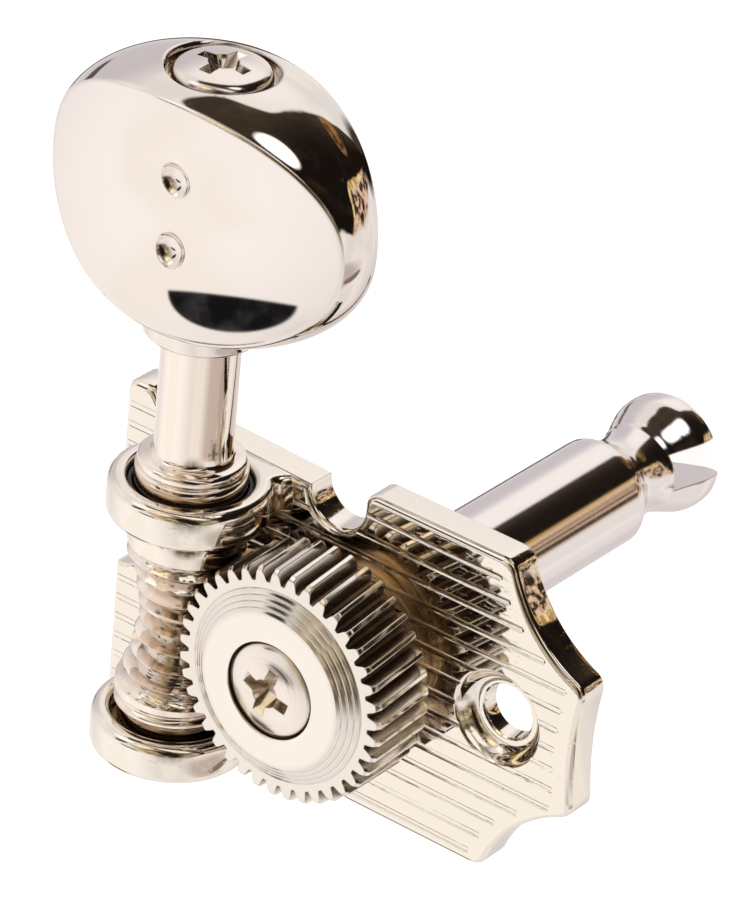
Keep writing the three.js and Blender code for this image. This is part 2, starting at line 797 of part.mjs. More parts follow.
function buttonBody() {
  const faceShares = [0.3, 0.6, 0.85, 1];
  const bandShares = [0.6, 0, -0.6];
  const faceHeight = (x, y) => {
    const rise = y > buttonMiddle ? buttonTopRise : buttonBottomDrop;
    const across = (x / buttonHalfWidth) ** 2;
    const up = ((y - buttonMiddle) / rise) ** 2;
    return buttonCrown + (buttonWingHalf - buttonCrown) * across + (buttonRimHalf - buttonCrown) * up;
  };
  const outlinePoint = (i, share, grow) => {
    const turn = (2 * Math.PI * i) / buttonSegments;
    const power = 2 / buttonOutlineExponent;
    const across = Math.sign(Math.cos(turn)) * Math.abs(Math.cos(turn)) ** power;
    const up = Math.sign(Math.sin(turn)) * Math.abs(Math.sin(turn)) ** power;
    const rise = Math.sin(turn) > 0 ? buttonTopRise : buttonBottomDrop;
    return [(buttonHalfWidth * share + grow) * across, buttonMiddle + (rise * share + grow) * up];
  };
  const rings = [];
  const faceRing = (share, side) => Array.from({ length: buttonSegments }, (_, i) => {
    const [x, y] = outlinePoint(i, share, 0);
    return [x, y, side * faceHeight(x, y)];
  });
  const bandRing = (level) => Array.from({ length: buttonSegments }, (_, i) => {
    const crease = faceHeight(...outlinePoint(i, 1, 0));
    const grow = buttonBulgeShare * crease * (1 - level * level);
    const [x, y] = outlinePoint(i, 1, grow);
    return [x, y, level * crease];
  });
  faceShares.forEach((share) => rings.push(faceRing(share, 1)));
  bandShares.forEach((level) => rings.push(bandRing(level)));
  [...faceShares].reverse().forEach((share) => rings.push(faceRing(share, -1)));
  const places = rings.flat(2);
  places.push(0, buttonMiddle, buttonCrown, 0, buttonMiddle, -buttonCrown);
  const pole = rings.length * buttonSegments;
  const faces = [];
  for (let i = 0; i < buttonSegments; i += 1) {
    const next = (i + 1) % buttonSegments;
    for (let j = 0; j + 1 < rings.length; j += 1) {
      const low = j * buttonSegments;
      const high = low + buttonSegments;
      faces.push(low + i, high + i, high + next, low + i, high + next, low + next);
    }
    const end = (rings.length - 1) * buttonSegments;
    faces.push(pole, i, next, pole + 1, end + next, end + i);
  }
  const geometry = new THREE.BufferGeometry();
  geometry.setAttribute('position', new THREE.Float32BufferAttribute(places, 3));
  geometry.setIndex(faces);
  return geometry;
}

// A ball that leaves a shallow dimple of the given opening in the button's front face.
function dimpleTool(y) {
  const radius = (dimpleOpening * dimpleOpening + dimpleDepth * dimpleDepth) / (2 * dimpleDepth);
  const ball = new THREE.SphereGeometry(radius, 2 * arcSteps, arcSteps);
  return solidOf(ball.rotateX(Math.PI / 2).translate(0, y, buttonCrown + radius - dimpleDepth));
}

function button() {
  const neckTop = buttonMiddle - buttonBottomDrop + neckRadius;
  const neck = turnedY([
    [0, neckBottom],
    [neckRadius - neckEdgeRound, neckBottom],
    [neckRadius, neckBottom + neckEdgeRound],
    [neckRadius, neckBottom + neckRadius / 3],
    [neckRadius + neckFlare, buttonMiddle - buttonBottomDrop],
    [0, neckTop],
  ]);
  const top = buttonMiddle + buttonTopRise + overrun * 2;
  const socketTop = stemTop + slipGap;
  const socket = turnedY([
    [0, neckBottom - overrun],
    [stemRadius + slipGap, neckBottom - overrun],
    [stemRadius + slipGap, stemFlatStart + slipGap],
    [0, stemFlatStart + slipGap],
  ]);
  const keyed = turnedY(barProfile(stemRadius + slipGap, stemFlatStart - 2 * slipGap, socketTop));
  const keyWidth = 4 * stemRadius;
  const keyDepth = 2 * (stemFlatHalf + slipGap);
  const key = new THREE.BoxGeometry(keyWidth, 2 * stemTop, keyDepth).translate(0, stemTop, 0);
  const screwWay = turnedY(barProfile(buttonScrewShankRadius + slipGap, stemTop, top));
  const recess = turnedY(barProfile(buttonRecessRadius, buttonScrewSeat, top));
  return geometryOf(cutBy(
    joined(solidOf(buttonBody()), solidOf(neck)),
    solidOf(socket),
    solidOf(keyed).intersect(solidOf(key)),
    solidOf(screwWay),
    solidOf(recess),
    dimpleTool(upperDimplePlace),
    dimpleTool(lowerDimplePlace),
  )).translate(wormX, 0, wormZ);
}

// Domed screw sunk in the button's top that pulls it on to the stem.
function buttonScrew() {
  const domeTop = buttonScrewSeat + buttonScrewRim + buttonScrewDome;
  const profile = [
    ...domeProfile(buttonScrewHeadRadius, domeTop, buttonScrewDome),
    [buttonScrewHeadRadius, buttonScrewSeat],
    [buttonScrewShankRadius, buttonScrewSeat],
    [buttonScrewShankRadius, buttonScrewEnd],
    [0, buttonScrewEnd],
  ];
  const body = solidOf(turnedY(profile));
  return geometryOf(cutBy(body, crossRecess(domeTop))).translate(wormX, 0, wormZ);
}

// Materials
const nickelPlate = { color: 0xd9cdc4, roughness: 0.12, metalness: 1 };
const satinNickel = { color: 0xcfc2b9, roughness: 0.25, metalness: 1 };
const bearingBronze = { color: 0xa98455, roughness: 0.35, metalness: 1 };
const darkPlastic = { color: 0x1d1a18, roughness: 0.55, metalness: 0 };

const tuner = new THREE.Group();

function addPiece(name, geometry, finish) {
  const piece = new THREE.Mesh(geometry, new THREE.MeshStandardMaterial(finish));
  piece.name = name;
  tuner.add(piece);
}

addPiece('base_plate', basePlate(), nickelPlate);
addPiece('post_bush', postBush(), bearingBronze);
addPiece('gear_washer', gearWasher(), bearingBronze);
addPiece('string_post', stringPost(), nickelPlate);
addPiece('main_gear', mainGear(), satinNickel);
addPiece('gear_screw', gearScrew(), nickelPlate);
addPiece('worm_shaft', wormShaft(), satinNickel);
addPiece('upper_worm_bush', upperWormBush(), darkPlastic);
addPiece('lower_worm_bush', lowerWormBush(), bearingBronze);
addPiece('worm_thrust_washer', wormThrustWasher(), bearingBronze);
addPiece('button', button(), nickelPlate);
addPiece('button_screw', buttonScrew(), nickelPlate);

export default tuner;
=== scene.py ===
"""Looks of an open-gear guitar tuning machine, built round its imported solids.

The back of the plate lies on z = 0, the string post runs down the z axis, and the worm lies along y
beside it. Sizes are written in millimetres and turned into metres when a piece is finished.
"""

import math

import bmesh
import bpy
import numpy as np
from mathutils import Matrix, Vector


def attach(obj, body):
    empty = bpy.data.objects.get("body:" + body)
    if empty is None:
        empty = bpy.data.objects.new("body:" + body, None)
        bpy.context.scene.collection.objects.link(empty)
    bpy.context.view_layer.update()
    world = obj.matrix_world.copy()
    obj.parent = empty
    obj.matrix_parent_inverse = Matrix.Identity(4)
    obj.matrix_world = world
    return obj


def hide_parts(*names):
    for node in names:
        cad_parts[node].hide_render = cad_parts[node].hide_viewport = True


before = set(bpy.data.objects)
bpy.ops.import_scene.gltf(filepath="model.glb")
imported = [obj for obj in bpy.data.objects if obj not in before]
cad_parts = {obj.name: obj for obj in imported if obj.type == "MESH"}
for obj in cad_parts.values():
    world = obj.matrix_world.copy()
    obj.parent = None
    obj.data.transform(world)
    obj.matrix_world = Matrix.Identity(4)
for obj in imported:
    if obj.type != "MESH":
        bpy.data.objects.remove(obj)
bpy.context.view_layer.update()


# The base plate is one zinc die casting: a flat plate with a scalloped right end, two ears for the
# worm and a field of engraved lines. It is tumbled, polished, then plated with warm bright nickel.
plate_thickness = 2.0
plate_half_width = 9.4
plate_left_reach = 15.75
plate_right_reach = 15.1
plate_edge_round = 0.42
plate_back_round = 0.12
corner_round = 0.8
tip_half_span = 3.85
shoulder_reach = 9.9
scallop_hollow = 0.95
end_hollow = 0.35
left_corner_rise = 0.25
web_run = 0.8
web_round = 0.4
web_flare = 0.35
relief_notch_radius = 1.8
worm_x = -8.3
worm_z = 5.56
worm_centre = (worm_x, 0, worm_z)
ear_radius = 4.36
ear_outer_face = 8.3
ear_thickness = 2.3
ear_edge_round = 0.5
ear_bore_radius = 3.35
ear_bore_lip = 0.3
ear_foot_half_width = 5.0
ear_foot_height = 1.7
ear_foot_floor = 0.3
ear_neck_drop = 2.7
left_foot = worm_x - ear_foot_half_width
right_foot = worm_x + ear_foot_half_width
past_notch = right_foot + 2 * relief_notch_radius
post_hole_radius = 3.805
screw_hole_reach = 9.95
screw_hole_radius = 1.5
countersink_radius = 2.75
countersink_depth = 0.98
half_hole_radius = 1.8
half_hole_chamfer = 0.2
line_pitch = 1.2
line_drop = 0.2
line_count = 15
line_half_width = 0.19
line_cut_radius = 0.345
line_margin = 0.8
line_clearance = 0.34
overrun = 1
drill_top = 4


def bowed_edge(start, end, bow, trim_start, trim_end):
    """Points from one corner to the next, straight or bowed towards the plate's inside."""
    start, end = np.array(start, float), np.array(end, float)
    length = np.linalg.norm(end - start)
    along = (end - start) / length
    inward = np.array([-along[1], along[0]])
    steps = 2 if bow == 0 else 25
    share = np.linspace(trim_start / length, 1 - trim_end / length, steps)[:, None]
    if bow == 0:
        return start + share * (end - start)
    half = length / 2
    radius = (half * half + bow * bow) / (2 * bow)
    opening = math.pi / 2 if bow >= half else math.asin(half / radius)
    turn = (2 * share - 1) * opening
    middle = (start + end) / 2
    return middle + inward * (bow - radius + radius * np.cos(turn)) + along * radius * np.sin(turn)


def bend(start, corner, end, shares):
    """Points on a curve that leaves start for the corner and comes to end from it."""
    return [start * (1 - t) ** 2 + corner * 2 * t * (1 - t) + end * t * t for t in shares]


def outline_of(corners):
    """One closed outline from corners of (x, y, rounding, bow of the next edge)."""
    edges = []
    for i, (x, y, rounding, bow) in enumerate(corners):
        after = corners[(i + 1) % len(corners)]
        edges.append(bowed_edge((x, y), after[:2], bow, rounding, after[2]))
    points = []
    for i, (x, y, rounding, _) in enumerate(corners):
        if rounding > 0:
            shares = np.linspace(0, 1, 10)[1:-1]
            points += bend(edges[i - 1][-1], np.array([x, y]), edges[i][0], shares)
        points.extend(edges[i])
    kept = [p for i, p in enumerate(points) if np.linalg.norm(p - points[i - 1]) > 1e-4]
    return np.array(kept)


def drawn_in(outline, depth):
    """The outline moved inwards by depth, square to its edges."""
    ahead = np.roll(outline, -1, axis=0) - outline
    ahead /= np.linalg.norm(ahead, axis=1)[:, None]
    inward = np.stack([-ahead[:, 1], ahead[:, 0]], axis=1)
    before = np.roll(inward, 1, axis=0)
    fit = 1 + (inward * before).sum(axis=1)
    return outline + depth * (inward + before) / np.maximum(fit, 0.4)[:, None]


def cleaned(mesh, merge, flat=0.0):
    """Merges doubled points, turns faces outwards and joins faces that are flat to each other."""
    body = bmesh.new()
    body.from_mesh(mesh)
    bmesh.ops.remove_doubles(body, verts=body.verts, dist=merge)
    bmesh.ops.recalc_face_normals(body, faces=body.faces)
    if flat:
        bmesh.ops.dissolve_limit(body, angle_limit=flat, verts=body.verts, edges=body.edges)
    body.to_mesh(mesh)
    body.free()


def built(name, points, faces, merge=1e-5):
    mesh = bpy.data.meshes.new(name)
    mesh.from_pydata(points, [], faces)
    cleaned(mesh, merge)
    piece = bpy.data.objects.new(name, mesh)
    bpy.context.scene.collection.objects.link(piece)
    return piece


def skin(name, rings, ends=True):
    """A skin over rings of equally many points, with a face over each end."""
    count = len(rings[0])
    last = (len(rings) - 1) * count
    faces = [tuple(range(count)), tuple(range(last, last + count))] if ends else []
    for low in range(0, last, count):
        for i in range(count):
            after = (i + 1) % count
            faces.append((low + i, low + after, low + count + after, low + count + i))
    return built(name, np.concatenate(rings).tolist(), faces)


def quarter_round(radius, steps):
    """Pairs for a rounded edge: how far each step stands in from the rim and below the face."""
    turns = np.linspace(0, math.pi / 2, steps)
    return [(radius * (1 - math.cos(turn)), radius * (1 - math.sin(turn))) for turn in turns]


def pressed_slab(name, outline, thickness, back_round, front_round):
    """A slab whose rim is rounded at both faces."""
    rim = [(inset, low) for low, inset in quarter_round(back_round, 5)]
    rim += [(inset, thickness - drop) for inset, drop in quarter_round(front_round, 8)]
    rings = [np.column_stack([drawn_in(outline, inset), np.full(len(outline), z)])
             for inset, z in rim]
    return skin(name, rings)


def about(axis, radius, turn, level):
    """Points at a radius and a turn about an axis, at a level along it; any of them may vary."""
    across, up = radius * np.cos(turn), radius * np.sin(turn)
    level = np.broadcast_to(level, across.shape)
    places = {"x": [level, across, up], "y": [across, level, -up], "z": [across, up, level]}
    return np.column_stack(places[axis])


def turned(name, profile, axis="z", centre=(0, 0, 0), columns=128):
    """A turned body from (radius, height) points, closed across its axis at both ends."""
    turn = np.linspace(0, 2 * math.pi, columns, endpoint=False)
    start, end = ([(0, level)] if radius > 0 else [] for radius, level in
                  (profile[0], profile[-1]))
    profile = start + list(profile) + end
    return skin(name, [about(axis, r, turn, level) + np.array(centre) for r, level in profile])


def near(radius, level, *offsets):
    """Points of a profile given by how far out and up they are from one point."""
    return [(radius + out, level + up) for out, up in offsets]


def eased(profile, rounding):
    """The profile with its inner corners eased; rounding is one value or one for each corner."""
    points = [np.array(p, float) for p in profile]
    steps = rounding if hasattr(rounding, "__len__") else [rounding] * len(points)
    out = [points[0]]
    for before, corner, after, ease in zip(points, points[1:], points[2:], steps[1:]):
        reach_in = min(ease, 0.48 * np.linalg.norm(corner - before))
        reach_out = min(ease, 0.48 * np.linalg.norm(after - corner))
        if min(reach_in, reach_out) < 1e-4:
            out.append(corner)
            continue
        start = corner + (before - corner) / np.linalg.norm(before - corner) * reach_in
        end = corner + (after - corner) / np.linalg.norm(after - corner) * reach_out
        out += bend(start, corner, end, np.linspace(0, 1, 6))
    return out + [points[-1]]


def machined(piece, tools, operation="DIFFERENCE"):
    """Cuts the tools out of the piece, or welds them on, and clears the tools away."""
    for tool in tools:
        cut = piece.modifiers.new("cut", "BOOLEAN")
        cut.operation = operation
        cut.solver = "MANIFOLD"
        cut.object = tool
    graph = bpy.context.evaluated_depsgraph_get()
    mesh = bpy.data.meshes.new_from_object(piece.evaluated_get(graph))
    piece.modifiers.clear()
    piece.data = mesh
    for tool in tools:
        bpy.data.objects.remove(tool)


def fitted(piece, node, body, material, crease=32.0):
    """Brings a finished piece from millimetres to metres and puts it on the machine."""
    piece.data.transform(Matrix.Scale(0.001, 4))
    piece.data.shade_smooth()
    piece.data.set_sharp_from_angle(angle=math.radians(crease))
    even = piece.modifiers.new("even_faces", "WEIGHTED_NORMAL")
    even.keep_sharp = True
    piece.data.materials.clear()
    piece.data.materials.append(material)
    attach(piece, body)
    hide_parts(node)


def plate_outline():
    """The lower edge's corners from left to right, then their mirror images for the upper edge."""
    left_edge = -plate_half_width - left_corner_rise
    lower = [
        (-plate_left_reach, left_edge, corner_round, 0),
        (left_foot - web_run, left_edge, web_round, 0),
        (left_foot, -ear_outer_face - web_flare, 0, 0),
        (right_foot, -ear_outer_face, 0, relief_notch_radius),
        (past_notch, -ear_outer_face, 0, 0),
        (past_notch, -plate_half_width, corner_round, 0),
        (shoulder_reach, -plate_half_width, corner_round, scallop_hollow),
        (plate_right_reach, -tip_half_span, corner_round, end_hollow),
    ]
    upper = []
    for i, (x, y, rounding, _) in enumerate(lower):
        upper.append((x, -y, rounding, lower[i - 1][3] if i else 0))
    return outline_of(lower + upper[::-1])


def line_cutter(start, end, y):
    """A round-ended cutter, most of it above the plate, that leaves one shallow engraved line."""
    radius, turns = line_cut_radius, np.linspace(0, math.pi / 2 - 0.05, 7)
    tips = [(radius * math.cos(turn), radius * (1 - math.sin(turn))) for turn in turns]
    profile = [(wide, start + inset) for wide, inset in tips[::-1]]
    profile += [(wide, end - inset) for wide, inset in tips]
    z = plate_thickness + math.sqrt(radius**2 - line_half_width**2)
    return turned("line_cutter", profile, "x", (0, y, z), 20)


def reach_at(outline, y):
    """How far right the outline goes at the height y."""
    ahead = np.roll(outline, -1, axis=0)
    crosses = (outline[:, 1] - y) * (ahead[:, 1] - y) < 0
    a, b = outline[crosses], ahead[crosses]
    return (a[:, 0] + (y - a[:, 1]) / (b[:, 1] - a[:, 1]) * (b[:, 0] - a[:, 0])).max()


def line_cutters(outline):
    """A cutter for each engraved line; the outermost lines break off at the ears."""
    cutters = []
    for i in range(line_count):
        y = (i - (line_count - 1) / 2) * line_pitch - line_drop
        start, end = -plate_left_reach - overrun, reach_at(outline, y) - line_margin
        spans = [(start, end)]
        if abs(y) > ear_outer_face:
            spans = [(start, left_foot - line_clearance), (past_notch + line_clearance, end)]
        cutters += [line_cutter(low, high, y) for low, high in spans]
    return cutters


def ear_outline():
    """The ear seen along y: a round arch over a foot that spreads into the plate."""
    neck_angle = math.asin(ear_neck_drop / ear_radius)
    neck_half = ear_radius * math.cos(neck_angle)
    foot = np.array([ear_foot_half_width, ear_foot_height])
    knee = np.array([neck_half, plate_thickness])
    neck = np.array([neck_half, worm_z - ear_neck_drop])
    right = [np.array([ear_foot_half_width, ear_foot_floor])]
    right += bend(foot, knee, neck, np.linspace(0, 1, 12))
    turns = np.linspace(-neck_angle, math.pi + neck_angle, 74)[1:-1]
    arch = [np.array([ear_radius * math.cos(t), worm_z + ear_radius * math.sin(t)]) for t in turns]
    left = [np.array([-p[0], p[1]]) for p in right[::-1]]
    return np.array(right + arch + left) + np.array([worm_x, 0])


def ear(name, outer_face):
    """An arch round the worm's bore, rounded at both faces."""
    slab = pressed_slab(name, ear_outline(), ear_thickness, ear_edge_round, ear_edge_round)
    stand = Matrix.Rotation(math.pi / 2, 4, "X")
    slab.data.transform(Matrix.Translation((0, outer_face, 0)) @ stand)
    return slab


def bore_cutter(low, high):
    """A reamer with flared ends, which leaves a rounded lip at both faces of an ear."""
    flare, wide = quarter_round(ear_bore_lip, 8), ear_bore_radius + ear_bore_lip
    profile = [(wide, low - overrun)]
    profile += [(ear_bore_radius + out, low + depth) for out, depth in flare[::-1]]
    profile += [(ear_bore_radius + out, high - depth) for out, depth in flare]
    return turned("bore_cutter", profile + [(wide, high + overrun)], "y", worm_centre, 144)


outline = plate_outline()
plate_casting = pressed_slab("plate_casting", outline, plate_thickness, plate_back_round,
                             plate_edge_round)
machined(plate_casting, line_cutters(outline))
machined(plate_casting, [ear("upper_ear", ear_outer_face),
                         ear("lower_ear", ear_thickness - ear_outer_face)], "UNION")
screw_seat = [(screw_hole_radius, -overrun)]
screw_seat += near(screw_hole_radius, plate_thickness - countersink_depth,
                   (0, -0.2), (0.03, -0.08), (0.12, 0.01), (0.28, 0.05), (0.42, 0.03),
                   (0.55, 0.08), (0.72, 0.22), (0.88, 0.42), (1.0, 0.62), (1.1, 0.8))
screw_seat += near(countersink_radius, plate_thickness,
                   (-0.06, -0.06), (0, -0.015), (0.1, 0.02), (0.1, drill_top))
post_way = [(post_hole_radius, -overrun), (post_hole_radius, drill_top)]
half_way_wide = half_hole_radius + half_hole_chamfer
half_way = [(0, -overrun), (half_hole_radius, -overrun),
            (half_hole_radius, plate_thickness - half_hole_chamfer),
            (half_way_wide, plate_thickness), (half_way_wide, drill_top), (0, drill_top)]
machined(plate_casting, [
    turned("screw_hole", screw_seat, "z", (screw_hole_reach, 0, 0)),
    turned("post_hole", post_way),
    turned("half_hole", eased(half_way, 0.1), "z", (-plate_left_reach, 0, 0)),
    bore_cutter(ear_outer_face - ear_thickness, ear_outer_face),
    bore_cutter(-ear_outer_face, ear_thickness - ear_outer_face),
])
cleaned(plate_casting.data, 0.002, flat=math.radians(0.3))


def effect_group(name, inputs, outputs):
    """An empty node group with named inputs (a vector where no value is given) and outputs."""
    group = bpy.data.node_groups.new(name, "ShaderNodeTree")
    for label, value in inputs.items():
        kind = "NodeSocketVector" if value is None else "NodeSocketFloat"
        socket = group.interface.new_socket(name=label, in_out="INPUT", socket_type=kind)
        if value is not None:
            socket.default_value = value
    for label in outputs:
        group.interface.new_socket(name=label, in_out="OUTPUT", socket_type="NodeSocketFloat")
    given, made = group.nodes.new("NodeGroupInput"), group.nodes.new("NodeGroupOutput")
    return group, given.outputs, made


def fed(tree, node, sockets):
    """Sets a node's input sockets, or links them where the value is a socket itself."""
    for key, value in sockets.items():
        if isinstance(value, bpy.types.NodeSocket):
            tree.links.new(value, node.inputs[key])
        else:
            node.inputs[key].default_value = value


def added(tree, kind, sockets=None, **values):
    """Adds a shader node of a kind, sets its plain values and feeds its sockets."""
    node = tree.nodes.new("ShaderNode" + kind)
    for key, value in values.items():
        setattr(node, key, value)
    fed(tree, node, sockets or {})
    return node


def worked(tree, operation, *terms, clamp=False):
    """The result of one sum on its terms."""
    return added(tree, "Math", dict(enumerate(terms)), operation=operation,
                 use_clamp=clamp).outputs[0]


def vector_worked(tree, operation, *terms):
    return added(tree, "VectorMath", dict(enumerate(terms)), operation=operation).outputs


def spread(tree, value, start, end, low=0.0, high=1.0, curve="LINEAR"):
    """Carries a value from the range start to end over to the range low to high."""
    return added(tree, "MapRange", {"Value": value, "From Min": start, "From Max": end,
                                    "To Min": low, "To Max": high},
                 interpolation_type=curve).outputs[0]


def noise(tree, place, scale, detail, roughness=0.5):
    """Clouds between nought and one."""
    return added(tree, "TexNoise", {"Vector": place, "Scale": scale, "Detail": detail,
                                    "Roughness": roughness}).outputs["Fac"]


def blended(tree, share, first, second):
    """The first colour where the share is nought, the second where it is one."""
    first, second = ((*c, 1) if isinstance(c, tuple) else c for c in (first, second))
    return added(tree, "Mix", {"Factor": share, "A": first, "B": second},
                 data_type="RGBA").outputs["Result"]


# Hand polishing leaves hair scratches and a soft ripple under the plating, both a few hundredths
# of a millimetre deep. The same effect serves every polished piece.
hair_stretch = (900, 5200, 2600)
polish, given, made = effect_group(
    "hand_polish", {"Place": None, "Scratch Share": 0.5, "Ripple Share": 0.5}, ["Height", "Haze"])
stretched = vector_worked(polish, "MULTIPLY", given["Place"], hair_stretch)[0]
hairs = spread(polish, noise(polish, stretched, 1.0, 3.0, 0.7), 0.6, 0.74)
hair_height = worked(polish, "MULTIPLY", hairs, given["Scratch Share"])
ripple = noise(polish, given["Place"], 260.0, 1.0)
ripple_height = worked(polish, "MULTIPLY", ripple, given["Ripple Share"])
cloud = noise(polish, given["Place"], 420.0, 4.0)
fed(polish, made, {"Height": worked(polish, "SUBTRACT", ripple_height, hair_height),
                   "Haze": worked(polish, "ADD", hair_height, cloud)})

# Pinholes and dust under bright nickel show as sparse dull specks.
specks, given, made = effect_group("plating_specks", {"Place": None, "Density": 700.0}, ["Mask"])
cells = added(specks, "TexVoronoi", {"Vector": given["Place"],
                                     "Scale": given["Density"]}).outputs
pin = spread(specks, cells["Distance"], 0.09, 0.05)
lot = added(specks, "SeparateColor", {0: cells["Color"]}).outputs[0]
rare = worked(specks, "GREATER_THAN", lot, 0.86)
fed(specks, made, {"Mask": worked(specks, "MULTIPLY", pin, rare)})


def started(name):
    """A new material, its node tree, its shader, and the place of each point on the piece."""
    material = bpy.data.materials.new(name)
    material.use_nodes = True
    tree = material.node_tree
    place = added(tree, "TexCoord").outputs["Object"]
    return material, tree, tree.nodes["Principled BSDF"], place


def polished(tree, place, scratch, ripple):
    return added(tree, "Group", {"Place": place, "Scratch Share": scratch,
                                 "Ripple Share": ripple}, node_tree=polish).outputs


def shaded_corners(tree, reach, closed, clear, amount):
    """Painted shade in corners: the full amount where a spot is closed in, none in the open."""
    corner = added(tree, "AmbientOcclusion", {"Distance": reach}, samples=6)
    return spread(tree, corner.outputs["AO"], closed, clear, amount, 0.0)


def plated(tree, metal, relief, shade_and_specks, colours, sheen):
    """Gives a metal relief on soft edges, and the tint and dullness of painted shade and specks."""
    height, bump_reach, strength, edge = relief
    softened = added(tree, "Bevel", {"Radius": edge * 0.001}, samples=4).outputs[0]
    bump = added(tree, "Bump", {"Strength": strength, "Distance": bump_reach,
                                "Height": height, "Normal": softened}).outputs[0]
    fed(tree, metal, {"Metallic": 1.0, "Base Color": blended(tree, shade_and_specks, *colours),
                      "Roughness": worked(tree, "MULTIPLY_ADD", shade_and_specks, 0.3, sheen),
                      "Normal": bump})


def nickel(name, colour, gloss, scratch, ripple, relief, edge, corner_shade, density=700.0):
    """Bright nickel plate: polished, softly rounded at its edges, with painted shade in its
    corners.
    """
    material, tree, metal, place = started(name)
    rub = polished(tree, place, scratch, ripple)
    dots = added(tree, "Group", {"Place": place, "Density": density}, node_tree=specks)
    # Painted shade where a spot is closed in within 0.9 mm, and stronger within 0.3 mm in narrow
    # grooves.
    shade_and_specks = worked(tree, "MAXIMUM", shaded_corners(tree, 0.0009, 0.25, 0.8, corner_shade),
                  shaded_corners(tree, 0.0003, 0.3, 0.78, corner_shade * 1.6))
    dim = worked(tree, "MULTIPLY", dots.outputs["Mask"], 0.5)
    dull = worked(tree, "MAXIMUM", shade_and_specks, dim, clamp=True)
    # The colour under painted shade and specks.
    brown = (colour[0] * 0.34, colour[1] * 0.23, colour[2] * 0.13)
    sheen = spread(tree, rub["Haze"], 0.3, 1.3, gloss, gloss * 2.6)
    plated(tree, metal, (rub["Height"], 0.00002, relief, edge), dull, (colour, brown), sheen)
    return material


plate_nickel = nickel("plate_nickel", (0.87, 0.8, 0.715), 0.032, scratch=0.6, ripple=1.1,
                      relief=0.4, edge=0.05, corner_shade=0.45)
fitted(plate_casting, "base_plate", "plate", plate_nickel, crease=26.0)


# A flanged sleeve of bearing bronze is pressed into the plate's post hole, and a thick bronze
# washer rides on its flange under the gear. Both are turned from bar.
sleeve_foot = 0.05
sleeve_outer = 3.755
bush_flange_top = 2.65
washer_radius = 4.6
gear_back = 3.39
post_running_radius = 3.255

turning, given, made = effect_group(
    "turning_marks", {"Along": 0.0, "Pitch": 0.08, "Depth Share": 0.5}, ["Height", "Haze"])
in_mm = worked(turning, "MULTIPLY", given["Along"], 1000.0)
in_pitches = worked(turning, "DIVIDE", in_mm, given["Pitch"])
lines = added(turning, "TexNoise", {"W": in_pitches, "Scale": 1.0, "Detail": 3.0,
                                    "Roughness": 0.6}, noise_dimensions="1D")
lines = lines.outputs["Fac"]
fed(turning, made, {"Height": worked(turning, "MULTIPLY", lines, given["Depth Share"]),
                    "Haze": spread(turning, lines, 0.42, 0.62)})


def lathe_metal(name, colours, gloss, axis="z", centre=(0, 0, 0), pitch=0.08, depth=0.5,
                relief=0.4, edge=0.05, corner_shade=0.6):
    """Turned metal: fine rings along its axis or across its face, over a polished ground."""
    material, tree, metal, place = started(name)
    middle = tuple(c * 0.001 for c in centre)
    from_axis = vector_worked(tree, "SUBTRACT", place, middle)[0]
    parts = added(tree, "SeparateXYZ", {0: from_axis}).outputs
    up, side = ("Y", "Z") if axis == "y" else ("Z", "Y")
    flat = added(tree, "CombineXYZ", {0: parts["X"], 1: parts[side]}).outputs[0]
    along = worked(tree, "ADD", parts[up], vector_worked(tree, "LENGTH", flat)["Value"])
    rings = added(tree, "Group", {"Along": along, "Pitch": pitch, "Depth Share": depth},
                  node_tree=turning).outputs
    rub = polished(tree, place, 0.3, 0.3)
    height = worked(tree, "ADD", rings["Height"], rub["Height"])
    # Painted shade: the share painted on the mesh, made patchy, with the painted shade in corners.
    painted_shade = added(tree, "Attribute", attribute_name="painted_shade").outputs["Fac"]
    patchiness = spread(tree, noise(tree, place, 1500.0, 3.0), 0.35, 0.65, 0.9, 1.02)
    shade_and_specks = worked(tree, "MAXIMUM", shaded_corners(tree, 0.0008, 0.2, 0.75, corner_shade),
                  worked(tree, "MULTIPLY", painted_shade, patchiness), clamp=True)
    sheen = spread(tree, rings["Haze"], 0.0, 1.0, gloss, gloss * 1.8)
    plated(tree, metal, (height, 0.00001, relief, edge), shade_and_specks, colours, sheen)
    return material


def hollow_turned(name, loop, axis="z", centre=(0, 0, 0)):
    """A turned ring: a loop of (radius, height) corners, eased and swept round the axis."""
    loop = np.array(eased(loop[-1:] + loop + loop[:1], 0.05)[1:-1])
    rings = [about(axis, loop[:, 0], turn, loop[:, 1]) + np.array(centre) for turn in
             np.linspace(0, 2 * math.pi, 129)]
    return skin(name, rings, ends=False)


bearing_bronze = lathe_metal("bearing_bronze", ((0.6, 0.45, 0.27), (0.12, 0.08, 0.05)), 0.2,
                             depth=0.8)
sleeve = [(post_running_radius, sleeve_foot), (sleeve_outer, sleeve_foot),
          (sleeve_outer, plate_thickness), (washer_radius, plate_thickness),
          (washer_radius, bush_flange_top), (post_running_radius, bush_flange_top)]
washer = [(post_running_radius, bush_flange_top), (washer_radius, bush_flange_top),
          (washer_radius, gear_back), (post_running_radius, gear_back)]
for name, loop, node in [("post_sleeve", sleeve, "post_bush"),
                         ("gear_rest_washer", washer, "gear_washer")]:
    fitted(hollow_turned(name, loop), node, "plate", bearing_bronze)


# The string post is turned from steel bar on an automatic lathe, slotted across its tip for the
# string, and plated. A square at its inner end drives it from the gear.
post_radius = 3.175
post_length = 28.0
post_shoulder = 20.65
post_waist_radius = 2.42
post_flare_radius = 3.42
post_end = gear_back - 0.05
nose_share = 0.13
nose_sweep = 0.148
string_slot_width = 2.1
string_slot_depth = 3.7
string_slot_angle = 0.28
